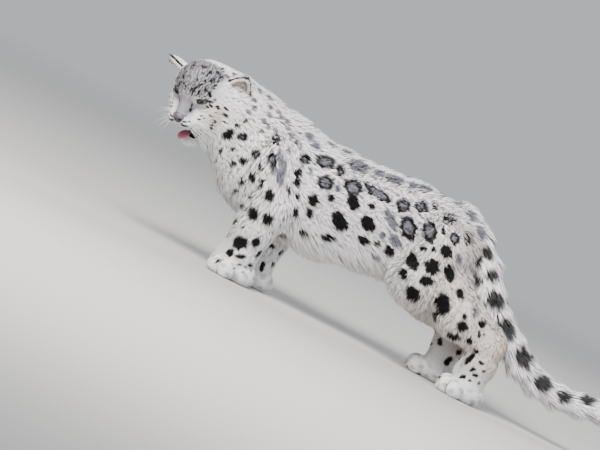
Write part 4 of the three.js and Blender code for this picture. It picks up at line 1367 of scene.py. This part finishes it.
# Nose: a leather pad with two comma nostrils and a groove
def nose_hollows(p):
    """The nostrils, their outer slits and the groove below them, less than zero inside."""
    local = one_side(p) - NOSE_AT
    nostril = egg(np.array([7.0, 6.4, -2.6]), (5.0, 3.0, 2.5))(local)
    wing = egg(np.array([3.2, 10.8, -3.2]), (5.5, 4.6, 2.0))(local)
    groove = np.hypot(local[:, 1], (local[:, 0] - 8.6) * 0.35) - 0.8 + 0.12 * np.maximum(local[:, 2] + 3, 0)
    return smooth(smooth(nostril, wing, 2), groove, 1)


def nose_field(p):
    local = in_head(p) - NOSE_AT
    pad = egg(np.zeros(3), (9.2, 12.8, 9.8))(local)
    low = egg(np.array([-3.0, 0, -6.5]), (8.5, 6.5, 7.5))(local)
    return -smooth(-smooth(pad, low, 5), nose_hollows(p), 1.4)


points, faces = local_surface(nose_field, on_head(*NOSE_AT), (16, 16, 16), 0.5)
# Painted shade in the nostrils, their slits, the groove and under the pad.
below = step(-2.5, -6, (in_head(points) - NOSE_AT)[:, 2])
hollow_shade = np.maximum(step(0.9, -0.2, nose_hollows(points)), below * 0.9)
plain_piece("nose_pad", points, faces, NOSE_LEATHER, "nose_leather", ("nose",), [("hollow_shade", "FLOAT", hollow_shade)])


# Tongue: a soft spoon with a groove along it, bent down over the lower lip
TONGUE_AT = np.array([-3.0, -1.0, -86.0])


def tongue_field(p):
    local = in_head(p) - TONGUE_AT
    bent = local + np.array([0, 0, 0.013]) * np.maximum(local[:, :1], 0) ** 2
    body = egg(np.zeros(3), (17.3, 10.2, 5.2))(bent)
    groove = np.hypot(local[:, 1], local[:, 2] - 5.8) - 1.9
    return -smooth(-body, groove, 1.6)


points, faces = local_surface(tongue_field, on_head(*TONGUE_AT), (28, 28, 24), 0.7)
plain_piece("tongue_blade", points, faces, TONGUE_SKIN, "tongue_skin", ("tongue",))


# Whiskers: long stiff hairs in rows on the pads
WHISKER_ROWS, WHISKERS_IN_ROW = 4, 4


def whiskers():
    made = []
    for side in (1, -1):
        for row in range(WHISKER_ROWS):
            for n in range(WHISKERS_IN_ROW):
                start = on_head(17 - 6 * n + rng.uniform(-1, 1), side * (20 + 2.2 * n), -43 - 4.2 * row)
                for _ in range(8):
                    start = start - slope(outer_field, start[None])[0] * (outer_field(start[None])[0] + 1.5)
                long = rng.uniform(38, 60)
                out = np.array([-0.3 - 0.12 * n, side * 0.75, -0.25 - 0.16 * row + rng.uniform(-0.08, 0.08)])
                out = unit(out @ HEAD_AXES)
                t = np.linspace(0, 1, 9)[:, None]
                path = start + out * long * t + np.array([0, 0, -1.0]) * long * 0.22 * t**2
                path = path - HEAD_AXES[0] * long * 0.12 * t**2
                made.append(tube(path, 0.42 * (1 - t[:, 0]) ** 0.8 + 0.06, 5))
    return together(made)


def hair_finish(name, colour):
    """A stiff white hair with a satin shine."""
    material, tree, shader = finish(name)
    place = add(tree, "ShaderNodeTexCoord", {}).outputs["Object"]
    patch = add(tree, "ShaderNodeTexNoise", {"Vector": place, "Scale": 1000 / 14})
    tree.links.new(mixed(tree, patch.outputs[0], srgb(colour), srgb("#FFFFFF")), shader.inputs["Base Color"])
    shader.inputs["Roughness"].default_value = 0.4
    return material


WHISKER = hair_finish("whisker_keratin", "#E4E0DC")
plain_piece("whiskers", *whiskers(), WHISKER, "coat")

# Floor, air, lights and camera
FLOOR_RADIUS, FLOOR_FADES = 6.0, 1.4


def floor():
    angles = np.arange(96) * math.tau / 96
    rings = [0.0, 0.6, 1.2, 2.0, 3.0, 4.2, FLOOR_RADIUS]
    points = [(0, 0, 0)] + [(r * math.cos(a), r * math.sin(a), 0) for r in rings[1:] for a in angles]
    faces = [(0, 1 + j, 1 + (j + 1) % 96) for j in range(96)]
    for i in range(len(rings) - 2):
        a, b = 1 + i * 96, 1 + (i + 1) * 96
        faces += [(a + j, b + j, b + (j + 1) % 96, a + (j + 1) % 96) for j in range(96)]
    mesh = bpy.data.meshes.new("floor")
    mesh.from_pydata(points, [], faces)
    obj = bpy.data.objects.new("floor", mesh)
    bpy.context.scene.collection.objects.link(obj)
    material, tree, shader = finish("studio_paper")
    place = add(tree, "ShaderNodeTexCoord", {}).outputs["Object"]
    away = add(tree, "ShaderNodeVectorMath", {"operation": "LENGTH", 0: place}).outputs["Value"]
    ends = {1: FLOOR_FADES, 2: FLOOR_RADIUS * 0.9, 3: 0.0, 4: 1.0}
    gone = add(tree, "ShaderNodeMapRange", {"Value": away, **ends})
    grain = add(tree, "ShaderNodeTexNoise", {"Vector": place, "Scale": 40.0, "Detail": 3.0})
    colour = mixed(tree, grain.outputs[0], srgb("#A5A4A2"), srgb("#ABAAA8"))
    tree.links.new(colour, shader.inputs["Base Color"])
    shader.inputs["Roughness"].default_value = 0.9
    clear = add(tree, "ShaderNodeBsdfTransparent", {})
    both = add(tree, "ShaderNodeMixShader", {0: gone.outputs[0], 1: shader.outputs[0], 2: clear.outputs[0]})
    tree.links.new(both.outputs[0], tree.nodes["Material Output"].inputs["Surface"])
    mesh.materials.append(material)


floor()
world = bpy.data.worlds.new("studio_air")
world.use_nodes = True
world.node_tree.nodes["Background"].inputs["Color"].default_value = srgb("#C9CBCE")
world.node_tree.nodes["Background"].inputs["Strength"].default_value = 0.95
bpy.context.scene.world = world


def lamp(name, place, aim, size, power, colour):
    data = bpy.data.lights.new(name, "AREA")
    data.shape = "DISK"
    data.size, data.energy, data.color = size, power, srgb(colour)[:3]
    obj = bpy.data.objects.new(name, data)
    obj.location = place
    obj.rotation_euler = (Vector(aim) - Vector(place)).to_track_quat("-Z", "Y").to_euler()
    bpy.context.scene.collection.objects.link(obj)


lamp("key", (-1.2, -2.6, 2.6), (0, 0, 0.2), 1.8, 420, "#FFFBF5")
lamp("fill", (2.4, -2.2, 1.2), (0, 0, 0.2), 2.2, 70, "#F4F7FF")
lamp("rim", (0.6, 2.6, 2.2), (0, 0, 0.2), 1.6, 60, "#F6F8FF")

# The photo is taken nearly level with the animal, and the camera is rolled by the slope that it stands on
CAMERA_AWAY, CAMERA_UP, LENS = 9.0, math.radians(3), 270
CENTRE = np.array([-159.6, 0, 158.4])  # the model's point at the middle of the picture


def camera():
    data = bpy.data.cameras.new("camera")
    data.lens, data.sensor_width, data.clip_end = LENS, 36.0, 60.0
    obj = bpy.data.objects.new("camera", data)
    ce, se = math.cos(CAMERA_UP), math.sin(CAMERA_UP)
    back, over, level = Vector((0, -ce, se)), Vector((0, se, ce)), Vector((1, 0, 0))
    c, s = math.cos(SLOPE), math.sin(SLOPE)
    right, up = c * level + s * over, c * over - s * level
    axes = Matrix((right, up, back)).transposed().to_4x4()
    axes.translation = Vector(placed(CENTRE)) + CAMERA_AWAY * back
    obj.matrix_world = axes
    bpy.context.scene.collection.objects.link(obj)
    bpy.context.scene.camera = obj


camera()
